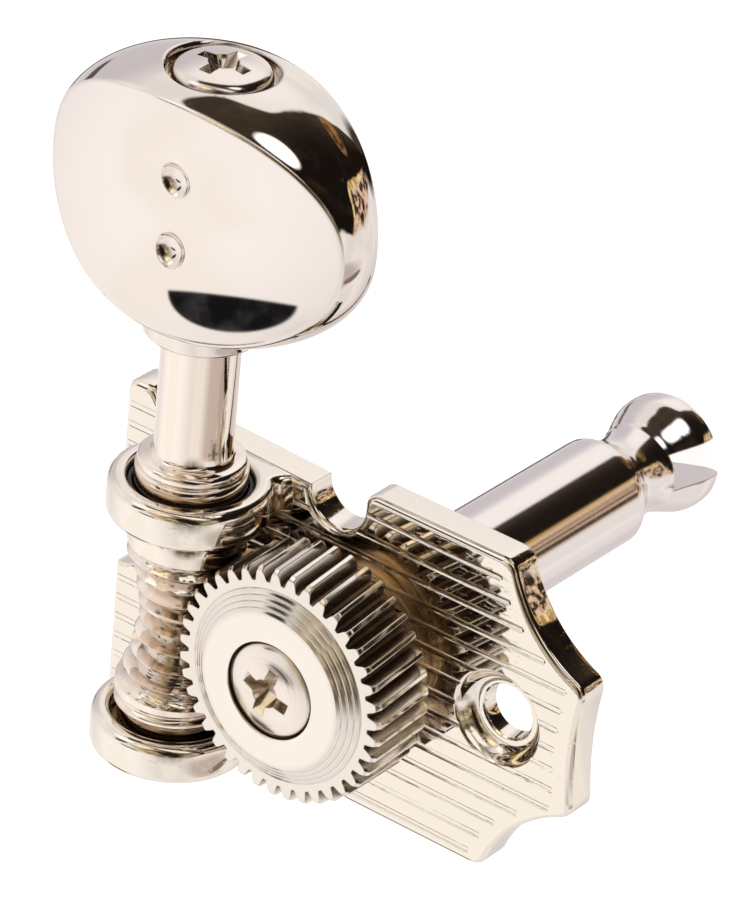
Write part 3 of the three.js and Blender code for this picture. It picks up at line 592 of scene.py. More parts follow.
# How wide the post is along its shaped part, from the waist's radius (0) to the flare's or, past
# the middle, the shank's (1).
shape_shares = np.array([0.01, 0.05, 0.12, 0.21, 0.34, 0.48, 0.62, 0.74, 0.88, 0.96, 1.0])
shape_widths = np.array([0.72, 0.92, 1.0, 0.98, 0.64, 0.24, 0.0, 0.02, 0.32, 0.7, 0.94])


def smooth_through(places, values, wanted):
    """Values at the wanted places on a smooth curve through the given ones."""
    slopes = np.gradient(values, places)
    i = np.clip(np.searchsorted(places, wanted) - 1, 0, len(places) - 2)
    step = places[i + 1] - places[i]
    t = (wanted - places[i]) / step
    left = (2 * t**3 - 3 * t**2 + 1) * values[i] + (t**3 - 2 * t**2 + t) * step * slopes[i]
    right = (3 * t**2 - 2 * t**3) * values[i + 1] + (t**3 - t**2) * step * slopes[i + 1]
    return left + right


def post_profile():
    """The tip's round nose, its flare, the waist that the string winds on, and the plain shank."""
    fine = np.linspace(0.01, 1.0, 60)
    profile = [(1.2, -post_length), (2.0, -post_length + 0.03)]
    for share, width in zip(fine, smooth_through(shape_shares, shape_widths, fine)):
        widest = post_flare_radius if share < 0.5 else post_radius
        radius = post_waist_radius + (widest - post_waist_radius) * width
        if share < nose_share:
            fall = ((nose_share - share) / nose_sweep) ** 3
            radius = post_flare_radius * math.sqrt(max(0.0, 1 - fall))
        profile.append((radius, -post_length + (post_length - post_shoulder) * share))
    profile += [(post_radius - 0.02, -post_shoulder + 0.05), (post_radius, -post_shoulder + 0.12)]
    shank = np.linspace(-post_shoulder + 0.6, gear_back - 0.2, 24)
    profile += [(post_radius, z) for z in shank]
    return profile + [(post_radius - 0.1, post_end)]


def box_cutter(length, width, low, high, turn=0.0):
    """A plain end mill's path: a box between two heights, turned about the post's axis."""
    corners = np.array([[-1, -1], [1, -1], [1, 1], [-1, 1]]) * np.array([length, width]) / 2
    rings = [np.column_stack([corners, np.full(4, z)]) for z in (low, high)]
    cutter = skin("box_cutter", rings)
    cutter.data.transform(Matrix.Rotation(turn, 4, "Z"))
    return cutter


post_turned = turned("post_turned", post_profile(), columns=160)
machined(post_turned, [box_cutter(12, string_slot_width, -post_length - overrun,
                                  -post_length + string_slot_depth, string_slot_angle)])
post_nickel = lathe_metal("post_nickel", ((0.86, 0.79, 0.755), (0.2, 0.13, 0.09)), 0.075,
                          pitch=0.12, depth=0.25, relief=0.25, edge=0.12, corner_shade=0.4)
fitted(post_turned, "string_post", "post", post_nickel, crease=30.0)


# The gear is a 39-tooth helical wheel, hobbed from brass bar and plated. Its front face is turned
# in four fine steps up to a flat boss, which is faced last. A thin painted shade on the face round
# the boss leaves the boss the brightest part.
gear_tip_radius = 6.72
gear_root_radius = 5.92
gear_width = 4.34
gear_front = gear_back + gear_width
tooth_count = 39
tooth_start_angle = 0.101
tooth_chamfer = 0.22
tip_half_share = 0.13
root_half_share = 0.38
hub_outer_radius = 5.5
hub_boss_radius = 4.35
hub_boss_rise = 0.7
hub_steps = 4
boss_top = gear_front + hub_boss_rise
gear_screw_hole = 2.75
square_side = 3.8
square_depth = 2.7
tooth_angle = 2 * math.pi / tooth_count
gear_pitch_radius = (gear_tip_radius + gear_root_radius) / 2
worm_distance = 8.3
worm_pitch_radius = worm_distance - gear_pitch_radius
helix_slope = gear_pitch_radius * tooth_angle / (2 * math.pi * worm_pitch_radius)
gear_twist = helix_slope / gear_pitch_radius


def tooth_reach(phase, extra=0.0):
    """Radius of the tooth's outline, at a phase counted in teeth from the middle of a tooth."""
    from_tooth = np.abs(phase - np.round(phase))
    gap = extra / (gear_pitch_radius * tooth_angle)
    tip_end, root_start = tip_half_share + gap, root_half_share + gap
    share = np.clip((from_tooth - tip_end) / (root_start - tip_end), 0, 1)
    return gear_tip_radius + (gear_root_radius - gear_tip_radius) * share + extra


def gear_rings():
    """The wheel's skin from the back face over the twisted teeth to the hole in the boss."""
    share = np.array([-0.13, -0.09, 0.0, 0.09, 0.13, 0.16, 0.24, 0.33, 0.38, 0.42, 0.5, 0.58,
                      0.62, 0.67, 0.76, 0.84])
    phase = (np.arange(tooth_count)[:, None] + share[None, :]).ravel()
    soft = np.mean([tooth_reach(phase + off) for off in np.linspace(-0.022, 0.022, 5)], axis=0)
    middle = (gear_back + gear_front) / 2

    def ring(radius, z, twist_z):
        turn = tooth_start_angle + phase * tooth_angle - gear_twist * (twist_z - middle)
        return about("z", radius, turn, z)

    rings = [ring(radius, gear_back, gear_back) for radius in (2.0, 3.4, 5.4)]
    ends = [(0.0, tooth_chamfer + 0.02), (0.03, tooth_chamfer - 0.03),
            (tooth_chamfer - 0.03, 0.04), (tooth_chamfer + 0.03, 0.0)]
    levels = [(gear_back + rise, drop) for rise, drop in ends]
    levels += [(z, 0.0) for z in np.linspace(gear_back + 0.4, gear_front - 0.4, 15)]
    levels += [(gear_front - rise, drop) for rise, drop in ends[::-1]]
    rings += [ring(np.minimum(soft, gear_tip_radius - drop), z, z) for z, drop in levels]
    face = [(5.75, gear_front)]
    step_width = (hub_outer_radius - hub_boss_radius) / hub_steps
    step_rise = hub_boss_rise / hub_steps
    for i in range(hub_steps):
        radius = hub_outer_radius - i * step_width
        face += near(radius, gear_front + i * step_rise, (0.045, -0.012), (0.01, -0.015),
                     (-0.015, 0.05), (-0.045, 0.075), (-step_width / 2, step_rise / 2 + 0.035),
                     (0.075 - step_width, step_rise - 0.004))
    face += near(hub_boss_radius, boss_top, (0.02, 0), (-0.2, 0), (-0.75, 0))
    face += near(gear_screw_hole, boss_top, (0.1, 0), (0.03, -0.02), (0, -0.06), (0, -0.3),
                 (-1.35, -1.6))
    return rings + [ring(radius, z, gear_front) for radius, z in face]


def gear_gap_shade(at):
    """Painted shade fills the gaps between the teeth and lies thinly on the front round the boss.
    """
    radius, z = np.hypot(at[:, 0], at[:, 1]), at[:, 2]
    filling = (gear_tip_radius - 0.1 - radius) / 0.5
    gaps = np.where((radius > 5.6) & (z < gear_front - 0.01), filling, 0)
    return np.maximum(gaps, np.where((radius > 4.3) & (z >= gear_front - 0.1), 0.1, 0))


def paint_shade(piece, share_at):
    """Paints on a mesh how much painted shade each point carries, from 0 to 1."""
    spots = np.empty(len(piece.data.vertices) * 3)
    piece.data.vertices.foreach_get("co", spots)
    layer = piece.data.attributes.new("painted_shade", "FLOAT", "POINT")
    shares = np.clip(share_at(spots.reshape(-1, 3)), 0, 1)
    layer.data.foreach_set("value", shares.astype(np.float32))


gear_wheel = skin("gear_wheel", gear_rings())
machined(gear_wheel, [box_cutter(square_side, square_side, post_end - overrun,
                                 gear_back + square_depth)])
paint_shade(gear_wheel, gear_gap_shade)
gear_nickel = lathe_metal("gear_nickel", ((0.885, 0.83, 0.765), (0.2, 0.14, 0.095)), 0.06,
                          pitch=0.09, depth=0.4, relief=0.3, edge=0.08, corner_shade=0.85)
fitted(gear_wheel, "main_gear", "post", gear_nickel, crease=24.0)


# A countersunk screw with a crowned head holds the gear on the post's square. Its cross recess is
# punched, so the recess has soft edges; painted shade makes it darker inside.
recess_reach = 1.62
recess_depth = 1.05
recess_wing_half = 0.34
recess_wing = [(-recess_reach, 1.0), (-recess_reach, 0.0), (-recess_reach / 3, -recess_depth),
               (recess_reach / 3, -recess_depth), (recess_reach, 0.0), (recess_reach, 1.0)]
recess_core = [(0.5, -recess_depth), (0.82, 0), (0.9, 1)]
gear_screw_crown = boss_top + 0.38
gear_screw_turn = -0.3
gear_shank_radius = 1.25
gear_shank_end = 1.0


def cross_punch(centre, turn, tilt=0.0):
    """Two tapered wings at right angles and a core, cut down from the crown of a screw."""
    cutters = []
    for quarter in (0, 1):
        sides = (-recess_wing_half, recess_wing_half)
        wing = skin("wing", [np.array([(x, y, z) for x, z in recess_wing]) for y in sides])
        wing.data.transform(Matrix.Rotation(quarter * math.pi / 2 + turn, 4, "Z"))
        cutters.append(wing)
    cutters.append(turned("core", recess_core, columns=24))
    for cutter in cutters:
        cutter.data.transform(Matrix.Rotation(tilt, 4, "X"))
        cutter.data.transform(Matrix.Translation(centre))
    return cutters


def crowned_screw(name, axis, crown_top, dome, flank):
    """A turned screw: its dome, then its flank down to the end of the shank, from the top."""
    radius, rise, power = dome
    profile = [(radius * s, crown_top - rise * s**power) for s in np.linspace(0, 1, 18)]
    return turned(name, (profile + flank)[::-1], axis)


gear_fixing = crowned_screw("gear_fixing_screw", "z", gear_screw_crown, (2.54, 0.5, 2.3), [
    (2.6, boss_top - 0.17), (2.63, boss_top - 0.24), (2.63, boss_top - 0.3),
    (gear_shank_radius, boss_top - 1.5), (gear_shank_radius, gear_shank_end)])
machined(gear_fixing, cross_punch((0, 0, gear_screw_crown), gear_screw_turn))
screw_finish = {"pitch": 0.15, "depth": 0.3, "relief": 0.3, "edge": 0.1, "corner_shade": 0.9}
screw_nickel = lathe_metal("screw_nickel", ((0.85, 0.765, 0.685), (0.22, 0.14, 0.055)), 0.13,
                           **screw_finish)
fitted(gear_fixing, "gear_screw", "post", screw_nickel, crease=28.0)


# The worm, its collar and the stem for the button are one piece of steel, turned and then milled
# to the hourglass that the gear's teeth roll in. The stem is bored at its top for the button's
# screw; the flats that key the button are hidden inside it and are left out here.
worm_blank_radius = 3.2
worm_thread_reach = 4.5
mesh_gap = 0.12
stem_radius = 2.1
stem_top = 27.0
stem_hole_radius = 1.3
stem_hole_floor = 22.5
collar_radius = 3.0
collar_start = 5.9
collar_top = 9.05
bead_radius = 2.9
bead_top = 9.6
bead_round = 0.27
lower_collar_radius = 2.95
journal_radius = 1.9
thrust_face = 6.65
worm_start = -5.5
thread_end = 4.95
roll_reach = 1.3
roll_steps = 35
depth_steps = 30
worm_columns = 112
phase_steps = 18
round_the_worm = 2 * math.pi * np.arange(worm_columns) / worm_columns


def left_by_the_gear(turn, y):
    """Radius left on the worm when the gear's teeth, grown by the running gap, have rolled past."""
    hollow = gear_root_radius + mesh_gap
    core = worm_distance - gear_tip_radius - 2 * mesh_gap
    blank = worm_distance - np.sqrt(hollow * hollow - np.minimum(y * y, hollow * hollow))
    radius = np.minimum(worm_blank_radius, blank)
    steps = np.arange(1, depth_steps + 1) / depth_steps
    for swing in np.linspace(-roll_reach, roll_reach, roll_steps):
        reach = core + (radius - core)[:, None] * steps[None, :]
        x = reach * math.cos(swing) - worm_distance
        rise = -reach * math.sin(swing)
        bearing = np.arctan2(y[:, None], x)
        bearing = bearing + np.where(y[:, None] < 0, 2 * math.pi, 0)
        lag = (swing - turn[:, None]) / tooth_count + gear_twist * rise
        phase = bearing - tooth_start_angle + lag
        meets = np.hypot(x, y[:, None]) < tooth_reach(phase / tooth_angle, mesh_gap)
        meets &= np.abs(rise) <= gear_width / 2 + mesh_gap
        first = np.where(meets.any(axis=1), meets.argmax(axis=1), depth_steps)
        low = core + (radius - core) * first / depth_steps
        radius = np.where(first < depth_steps, low, radius)
    return radius


def worm_rows():
    """Rows that follow the thread: each keeps one phase of the gear's tooth all the way round."""
    half_mesh = math.asin(worm_thread_reach / gear_root_radius)
    highest = math.ceil((math.pi + half_mesh - tooth_start_angle) / tooth_angle) + 1
    lowest = math.floor((math.pi - half_mesh - tooth_start_angle) / tooth_angle) - 2
    shares = (np.arange(phase_steps)[::-1] + 0.5) / phase_steps
    phases = np.concatenate([tooth + shares for tooth in range(highest, lowest - 1, -1)])
    turn = round_the_worm[None, :]
    bearing = tooth_start_angle + turn / tooth_count + phases[:, None] * tooth_angle
    reach = gear_pitch_radius + (tooth_reach(phases) - gear_pitch_radius)[:, None] / 4
    y = np.clip(reach * np.sin(bearing), -worm_thread_reach, worm_thread_reach)
    around = np.broadcast_to(turn, y.shape)
    return left_by_the_gear(around.ravel(), y.ravel()).reshape(y.shape), y


def worm_piece():
    """Turned rows below, threaded rows that end one lead further on, and turned rows above."""
    radius, y = worm_rows()
    lower = [(0.02, -ear_outer_face)]
    lower += near(journal_radius, -ear_outer_face, (-0.12, 0), (0, 0.12))
    lower += [(journal_radius, -thrust_face)]
    lower += near(lower_collar_radius, -thrust_face, (-0.06, 0), (0, 0.06))
    lower += [(lower_collar_radius, worm_start - 0.03)]
    lower += near(worm_blank_radius, worm_start, (-0.08, 0), (0, 0.08), (0, 0.24), (-0.2, 0.34),
                  (-0.25, 0.42), (-0.25, 0.56), (-0.2, 0.66), (0, 0.78))
    upper = [(worm_blank_radius, thread_end), (worm_blank_radius - 0.04, collar_start - 0.3)]
    upper += near(collar_radius, collar_start, (0.1, -0.12), (0, 0))
    upper += near(collar_radius, collar_top, (0, -0.14), (-0.03, -0.05), (-0.12, -0.01))
    upper += near(bead_radius, collar_top, (-0.06, 0.02), (0, 0.08))
    upper += [(bead_radius - inset, bead_top - drop) for inset, drop in
              quarter_round(bead_round, 9)]
    upper += near(stem_radius, bead_top, (0.35, 0.07), (0.15, 0.14), (0.03, 0.24), (0, 0.38))
    upper += [(stem_radius, level) for level in np.linspace(bead_top + 1, stem_top - 0.2, 24)]
    upper += [(stem_radius - 0.12, stem_top), (stem_hole_radius, stem_top),
              (stem_hole_radius, stem_hole_floor), (0.02, stem_hole_floor)]
    rows = lower + list(zip(radius, y)) + upper
    points = [about("y", r, round_the_worm, level) for r, level in rows]
    first, last = len(lower), len(lower) + len(radius) - 1

    def corner(i, j):
        if i < worm_columns:
            return j * worm_columns + i
        if j < first or j > last:
            return j * worm_columns
        return max(first, j - phase_steps) * worm_columns

    faces = [tuple(range(worm_columns))[::-1],
             tuple(range((len(rows) - 1) * worm_columns, len(rows) * worm_columns))]
    for j in range(len(rows) - 1):
        for i in range(worm_columns):
            around = (corner(i, j), corner(i + 1, j), corner(i + 1, j + 1), corner(i, j + 1))
            if len(set(around)) > 2:
                faces.append(tuple(dict.fromkeys(around)))
    piece = built("worm_and_stem", np.concatenate(points).tolist(), faces, merge=1e-4)
    piece.data.transform(Matrix.Translation(worm_centre))
    return piece


def worm_groove_shade(at):
    """Painted shade fills the thread's grooves and the ring where the collar enters its bearing."""
    level, radius = at[:, 1], np.hypot(at[:, 0] - worm_x, at[:, 2] - worm_z)
    hollow = gear_root_radius + mesh_gap
    crest = worm_distance - np.sqrt(np.maximum(hollow**2 - level**2, 0.1))
    filling = (np.minimum(worm_blank_radius, crest) - radius - 0.34) / 0.25
    groove = np.where(np.abs(level) < thread_end, filling, 0)
    bearing = np.where((level > 6.5) & (level < 8.35), 0.85, 0)
    return np.maximum(np.minimum(groove, 1) * 0.32, bearing)


worm_and_stem = worm_piece()
paint_shade(worm_and_stem, worm_groove_shade)
worm_nickel = lathe_metal("worm_nickel", ((0.9, 0.805, 0.72), (0.3, 0.21, 0.11)), 0.045, "y",
                          worm_centre, pitch=0.12, depth=0.25, relief=0.3, edge=0.05, corner_shade=0.3)
fitted(worm_and_stem, "worm_shaft", "worm", worm_nickel, crease=40.0)


# The worm runs in three small bearings: a thin dark sleeve of moulded nylon in the upper ear, a
# bronze plug pressed into the lower ear, and a bronze washer that takes the worm's thrust.
running_gap = 0.08
bush_outer = 3.3
nylon_low, nylon_high = 6.0, 7.9
plug_face = -6.95


def moulded_nylon(name, colour):
    """Dark nylon from the mould: faint flow mottle and a dull skin."""
    material, tree, plastic, place = started(name)
    mottle = noise(tree, place, 1400.0, 4.0)
    pale = (colour[0] * 2.2, colour[1] * 2.0, colour[2] * 1.8)
    bump = added(tree, "Bump", {"Strength": 0.3, "Distance": 0.00001, "Height": mottle})
    fed(tree, plastic, {"Base Color": blended(tree, mottle, colour, pale),
                        "Roughness": spread(tree, mottle, 0.0, 1.0, 0.35, 0.6),
                        "Normal": bump.outputs[0]})
    return material


def square_ring(inner, outer, low, high):
    return [(inner, low), (outer, low), (outer, high), (inner, high)]


# The nylon sleeve is near-black so that it stands as painted shade in the gap round the collar.
gap_shade_nylon = moulded_nylon("gap_shade_nylon", (0.012, 0.01, 0.009))
worm_bronze = lathe_metal("worm_bronze", ((0.45, 0.31, 0.17), (0.05, 0.03, 0.02)), 0.2, "y",
                          worm_centre, depth=0.8)
nylon_ring = square_ring(collar_radius + running_gap, bush_outer, nylon_low, nylon_high)
plug_inner = journal_radius + running_gap
plug_ring = square_ring(plug_inner, bush_outer, -ear_outer_face, plug_face)
thrust_ring = square_ring(plug_inner, lower_collar_radius, plug_face, -thrust_face)
for name, ring, node, slot, material in [
    ("upper_nylon_sleeve", nylon_ring, "upper_worm_bush", "dark_plastic", gap_shade_nylon),
    ("lower_bronze_plug", plug_ring, "lower_worm_bush", "bearing_bronze", worm_bronze),
    ("thrust_ring", thrust_ring, "worm_thrust_washer", "bearing_bronze", worm_bronze),
]:
    fitted(hollow_turned(name, ring, "y", worm_centre), node, "plate", material)


# The button is a zinc casting, polished to a mirror and plated: two saddle-shaped faces between a
# domed rim, a short neck round the stem, and two small gate dimples in its front face.
button_half_width = 9.5
button_middle = 24.55
button_top_rise = 6.75
button_bottom_drop = 6.2
button_crown = 3.1
button_wing_half = 1.4
button_rim_half = 4.1
button_bulge = 0.24
button_exponent = 2.12
button_columns = 224
neck_radius = 3.12
neck_bottom = 16.9
neck_flare = 0.45
dimple_opening = 0.88
dimple_depth = 0.4
dimple_places = (26.6, 22.75)
recess_radius = 2.9
recess_lip = 0.3
recess_lip_top = 31.92
button_screw_seat = 31.2
stem_play = 0.1


def face_height(x, y):
    """Height of the saddle-shaped face over the button's middle plane."""
    rise = np.where(y > button_middle, button_top_rise, button_bottom_drop)
    across, up = (x / button_half_width) ** 2, ((y - button_middle) / rise) ** 2
    wing, rim = button_wing_half - button_crown, button_rim_half - button_crown
    return button_crown + wing * across + rim * up


def button_rings():
    """The front face from its middle to the crease, the domed rim, and the back as a mirror."""
    turn = 2 * math.pi * np.arange(button_columns) / button_columns
    power = 2 / button_exponent
    across = np.sign(np.cos(turn)) * np.abs(np.cos(turn)) ** power
    up = np.sign(np.sin(turn)) * np.abs(np.sin(turn)) ** power
    rise = np.where(np.sin(turn) > 0, button_top_rise, button_bottom_drop)

    def edge(share, grow):
        x = (button_half_width * share + grow) * across
        return x, button_middle + (rise * share + grow) * up

    def face(share):
        x, y = edge(share, 0.0)
        return np.column_stack([x, y, face_height(x, y)])

    crease = face_height(*edge(1.0, 0.0))

    def band(level):
        x, y = edge(1.0, button_bulge * crease * (1 - level * level))
        return np.column_stack([x, y, level * crease])

    front = [face(share) for share in np.concatenate([[0.004], np.linspace(0.04, 0.974, 30)])]
    side = [band(level) for level in np.linspace(0.93, 0, 22)]
    rounded = bend(front[-1], face(1.0), side[0], np.linspace(0, 1, 11)[1:-1])
    half = front + rounded + side
    return half + [ring * np.array([1, 1, -1]) for ring in half[:-1]][::-1]


button_casting = skin("button_casting", button_rings())
neck_profile = [(0, neck_bottom), (neck_radius, neck_bottom), (neck_radius, 18.0),
                (neck_radius + neck_flare, 19.0), (0, 21.5)]
neck = turned("neck", eased(neck_profile, [0, 0.22, 0.5, 0.3, 0]), "y", columns=144)
machined(button_casting, [neck], "UNION")
recess = [(recess_radius, button_screw_seat)]
recess += [(recess_radius + out, recess_lip_top - drop) for out, drop in
           quarter_round(recess_lip, 7)]
recess += [(recess_radius + 0.45, 32.1), (recess_radius + 1.2, 33.5)]
way_radius, way_top = stem_radius + stem_play, stem_top + stem_play
stem_way = [(way_radius, neck_bottom - overrun), (way_radius, way_top),
            (stem_hole_radius, way_top), (stem_hole_radius, 32)]
ball = (dimple_opening**2 + dimple_depth**2) / (2 * dimple_depth)
bowl = [(ball * math.sin(a), -ball * math.cos(a)) for a in np.linspace(0, math.pi, 40)]
cutters = [turned("recess", recess, "y", columns=144),
           turned("stem_way", stem_way, "y", columns=96)]
for place in dimple_places:
    centre = (0, place, button_crown + ball - dimple_depth)
    cutters.append(turned("dimple", bowl, "z", centre, 64))
machined(button_casting, cutters)
button_casting.data.transform(Matrix.Translation(worm_centre))
button_nickel = nickel("button_nickel", (0.845, 0.775, 0.722), 0.025, scratch=0.0, ripple=0.35,
                       relief=0.15, edge=0.1, corner_shade=0.3, density=420.0)
fitted(button_casting, "button", "worm", button_nickel, crease=30.0)


# A crowned screw sunk in the button's top pulls it on to the stem. It is turned, punched with a
# cross and plated like the gear's screw.
button_screw_crown = 32.25
button_head_radius = 2.6
button_shank_radius = 1.2
button_shank_end = 22.6
button_fixing = crowned_screw("button_fixing_screw", "y", button_screw_crown, (2.25, 0.27, 2.6), [
    *near(button_head_radius, button_screw_crown, (-0.2, -0.36), (-0.1, -0.48), (-0.03, -0.64),
          (0, -0.8)), (button_head_radius, button_screw_seat),
    (button_shank_radius, button_screw_seat), (button_shank_radius, button_shank_end)])
machined(button_fixing, cross_punch((0, button_screw_crown, 0), 0.0, tilt=-math.pi / 2))
button_fixing.data.transform(Matrix.Translation(worm_centre))
button_screw_nickel = lathe_metal("button_screw_nickel", ((0.85, 0.775, 0.72), (0.2, 0.13, 0.07)),
                                  0.07, "y", worm_centre, **screw_finish)
fitted(button_fixing, "button_screw", "worm", button_screw_nickel, crease=28.0)


# The machine stands on the tip of its post on a sheet of white card, as for a catalogue picture.
# The card shows only from above, and the metal mirrors the light tent and not the card.
card_reach = 0.9
card_level = -0.0281
card_mesh = bpy.data.meshes.new("card")
corners = [(-card_reach, -card_reach), (card_reach, -card_reach), (card_reach, card_reach),
           (-card_reach, card_reach)]
card_mesh.from_pydata([(x, y, card_level) for x, y in corners], [], [(0, 1, 2, 3)])
card = bpy.data.objects.new("card", card_mesh)
bpy.context.scene.collection.objects.link(card)
white_card, tree, paper, place = started("white_card")
shade = spread(tree, noise(tree, place, 900.0, 3.0), 0.0, 1.0, 0.49, 0.51)
grey = added(tree, "CombineColor", {0: shade, 1: shade, 2: shade}).outputs[0]
fed(tree, paper, {"Base Color": grey, "Roughness": 0.9, "Specular IOR Level": 0.1,
                  "Emission Color": (1, 1, 1, 1), "Emission Strength": 0.86})
behind = added(tree, "NewGeometry").outputs["Backfacing"]
by_eye = added(tree, "LightPath").outputs["Is Camera Ray"]
seen = worked(tree, "MULTIPLY", by_eye, worked(tree, "SUBTRACT", 1.0, behind))
clear = added(tree, "BsdfTransparent").outputs[0]
shown = added(tree, "MixShader", {0: seen, 1: clear, 2: paper.outputs[0]}).outputs[0]
fed(tree, tree.nodes["Material Output"], {"Surface": shown})
card_mesh.materials.append(white_card)


# Soft white light from all round, as in a light tent. The tent is brightest over the far side of
# the machine and open to a dark room on the side towards +x and +y, where one lamp shows.
tent = bpy.data.worlds.new("light_tent")
bpy.context.scene.world = tent
tent.use_nodes = True
tree = tent.node_tree
towards = added(tree, "TexCoord").outputs["Generated"]
parts = added(tree, "SeparateXYZ", {0: towards}).outputs


def ramp(value, start, end, low=0.0, high=1.0):
    """A soft step from low to high as the value goes from start to end."""
    return spread(tree, value, start, end, low, high, "SMOOTHSTEP")


def times(first, *others):
    """The product of several masks or numbers."""
    for other in others:
        first = worked(tree, "MULTIPLY", first, other)
    return first


def plus(first, second):
    return worked(tree, "ADD", first, second)


def minus(first, second):
    return worked(tree, "SUBTRACT", first, second)


def direction(azimuth, elevation):
    a, e = math.radians(azimuth), math.radians(elevation)
    return math.cos(a) * math.cos(e), math.sin(a) * math.cos(e), math.sin(e)


def lobe(azimuth, elevation, start, end):
    """One inside the cone about a direction, nought outside; start and end are cosines."""
    along = vector_worked(tree, "DOT_PRODUCT", towards, direction(azimuth, elevation))["Value"]
    return ramp(along, start, end)


def blot(azimuth, elevation, half_wide, half_high, tilt=0.0, soft=0.25, upper_half=False):
    """An oval patch about a direction, or its upper half, with its half sizes in degrees."""
    a, t = math.radians(azimuth), math.radians(tilt)
    wide = Vector((-math.sin(a), math.cos(a), 0))
    high = Vector(direction(azimuth, elevation)).cross(wide)
    reaches = []
    for axis, half in [(wide * math.cos(t) + high * math.sin(t), half_wide),
                       (high * math.cos(t) - wide * math.sin(t), half_high)]:
        span = tuple(axis / math.sin(math.radians(half)))
        reaches.append(vector_worked(tree, "DOT_PRODUCT", towards, span)["Value"])
    across, over = reaches
    inside = ramp(plus(times(across, across), times(over, over)), 1 + soft, 1 - soft)
    if upper_half:
        inside = times(inside, ramp(over, -0.04, 0.04))
    return times(inside, lobe(azimuth, elevation, 0.2, 0.3))


def laid_over(below, mask, colour):
    """The colour where the mask is one, over what is already there."""
    return blended(tree, mask, below, colour)


def mottled(scale, low, high, dark, pale):
    """Two colours that pass into each other in soft patches."""
    return blended(tree, ramp(noise(tree, towards, scale, 4.0, 0.6), low, high), dark, pale)


bearing = times(worked(tree, "ARCTAN2", parts["Y"], parts["X"]), 180 / math.pi)
rise = times(worked(tree, "ARCSINE", parts["Z"]), 180 / math.pi)
loose_bearing = plus(bearing, ramp(noise(tree, towards, 2.2, 2.0), 0.3, 0.7, -4.0, 4.0))

# The cloth is brightest over the far side, greyer low down on the side towards -x, and has soft
# cream folds. Its patches are given by direction and half sizes in degrees.
light = plus(times(lobe(-135, 42, 0.6, 1.0), 0.25), 0.88)
light = plus(light, times(lobe(117, -40, 0.9, 1.0), 0.2))
cloth = added(tree, "CombineColor", {0: light, 1: times(light, 0.98),
                                     2: times(light, 0.985)}).outputs[0]
folds = times(ramp(noise(tree, towards, 3.1, 1.0), 0.42, 0.66), 0.6)
cloth = laid_over(cloth, folds, (1.06, 1.02, 0.95))
cloth = laid_over(cloth, times(lobe(170, -32, 0.82, 0.99), 0.82), (0.6, 0.57, 0.62))
cloth = laid_over(cloth, times(lobe(-100, -44, 0.87, 0.99), 0.7), (0.68, 0.63, 0.64))
for azimuth, elevation, half_wide, half_high, colour in [
    (148, 52, 15, 7, (0.05, 0.04, 0.035)),
    (124, 28, 12, 9, (1.35, 1.33, 1.3)),
    (-121, 3, 9, 11, (0.1, 0.07, 0.04)),
    (-178, -26, 3.5, 10, (0.12, 0.1, 0.1)),
]:
    cloth = laid_over(cloth, blot(azimuth, elevation, half_wide, half_high), colour)
cloth = laid_over(cloth, times(blot(-32, -2, 8, 26, 0, 0.7), 0.85), (0.55, 0.45, 0.42))

# The side where the picture is taken from: brown clutter, a pale table, a golden patch of light
# and the black mouth of the lens hood.
clutter = mottled(3.4, 0.34, 0.7, (0.09, 0.062, 0.034), (0.72, 0.61, 0.42))
golden = mottled(6.0, 0.36, 0.55, (0.5, 0.37, 0.18), (1.25, 1.1, 0.78))
view = laid_over(cloth, lobe(40, 42, 0.5, 0.74), clutter)
view = laid_over(view, blot(62, 23, 26, 6.5), (1.1, 1.08, 1.05))
view = laid_over(view, blot(99, 44, 15, 11), golden)
view = laid_over(view, blot(25, 50, 30, 13, 0, 0.4), (0.02, 0.014, 0.01))
view = laid_over(view, blot(-36, -20, 2.5, 14), (0.25, 0.2, 0.17))
view = laid_over(view, blot(-154, -50, 5, 15), (0.09, 0.07, 0.06))

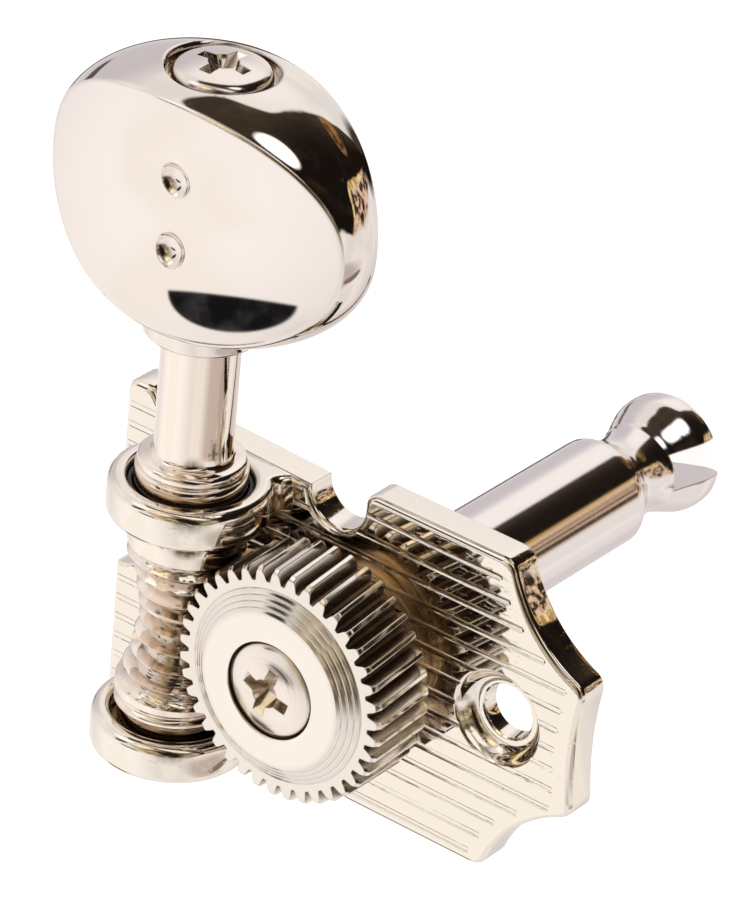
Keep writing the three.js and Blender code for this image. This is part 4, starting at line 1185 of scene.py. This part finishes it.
# The dark room beside the tent: umber, with dusk low down, a gold line along its left edge, one
# lamp, and the black card that the button's face mirrors. Edges are degrees of bearing and rise.
left_edge = ramp(rise, -44, -18, 31, -3)
right_edge = ramp(rise, -32, -8, 91, 119)
past_left = minus(loose_bearing, left_edge)
room = times(ramp(past_left, -2.0, 2.0), ramp(minus(right_edge, loose_bearing), -1.5, 2.5),
             ramp(rise, 17, 9))
room = worked(tree, "MAXIMUM", room, ramp(rise, -76, -83))
dusk = times(ramp(loose_bearing, -9, 0), ramp(loose_bearing, 42, 34), ramp(rise, -18, -30))
dusk_colour = mottled(9.0, 0.43, 0.55, (0.04, 0.025, 0.016), (0.87, 0.64, 0.46))
umber = laid_over(mottled(2.5, 0.5, 0.75, (0.010, 0.007, 0.006), (0.035, 0.022, 0.015)),
                  ramp(loose_bearing, 56, 100),
                  mottled(3.0, 0.42, 0.7, (0.05, 0.038, 0.026), (0.10, 0.07, 0.045)))
umber = laid_over(umber, blot(74, -60, 10, 5),
                  mottled(8.0, 0.42, 0.55, (0.07, 0.035, 0.015), (0.34, 0.19, 0.07)))
gold_line = times(ramp(past_left, 3.0, 0.5), ramp(past_left, -7.0, -4.5),
                  times(ramp(rise, -14, -26), ramp(rise, -75, -65)))
gold = mottled(14.0, 0.4, 0.58, (0.5, 0.27, 0.09), (0.98, 0.86, 0.5))
black_card = mottled(7.0, 0.45, 0.7, (0.008, 0.008, 0.009), (0.04, 0.04, 0.045))
view = laid_over(view, dusk, dusk_colour)
view = laid_over(view, room, umber)
view = laid_over(view, gold_line, gold)
view = laid_over(view, blot(68, -3.5, 15.5, 6.5, -8), (1.5, 1.5, 1.5))
view = laid_over(view, blot(-142.8, 68.2, 14.5, 9.3, 42.6, 0.06, True), black_card)
by_eye = added(tree, "LightPath").outputs["Is Camera Ray"]
fed(tree, tree.nodes["Background"], {"Color": laid_over(view, by_eye, (1.0, 1.0, 1.0)),
                                     "Strength": 1.0})


# The camera looks at the gear's front from above the scalloped end, through a long lens.
camera_data = bpy.data.cameras.new("camera")
camera = bpy.data.objects.new("camera", camera_data)
bpy.context.scene.collection.objects.link(camera)
camera_data.sensor_width = 36.0
camera_data.lens = 225.333
camera_data.clip_start, camera_data.clip_end = 0.01, 10.0
right = Vector((0.78477346, 0.08419958, -0.61403668))
up = Vector((-0.36590375, 0.86258894, -0.34936338))
back = Vector((0.500245, 0.49884943, 0.70774585))
look = Matrix((right, up, back)).transposed().to_4x4()
look.translation = Vector((0.14512377, 0.1562065, 0.20645561))
camera.matrix_world = look
bpy.context.scene.camera = camera
bpy.context.scene.view_settings.view_transform = "Standard"
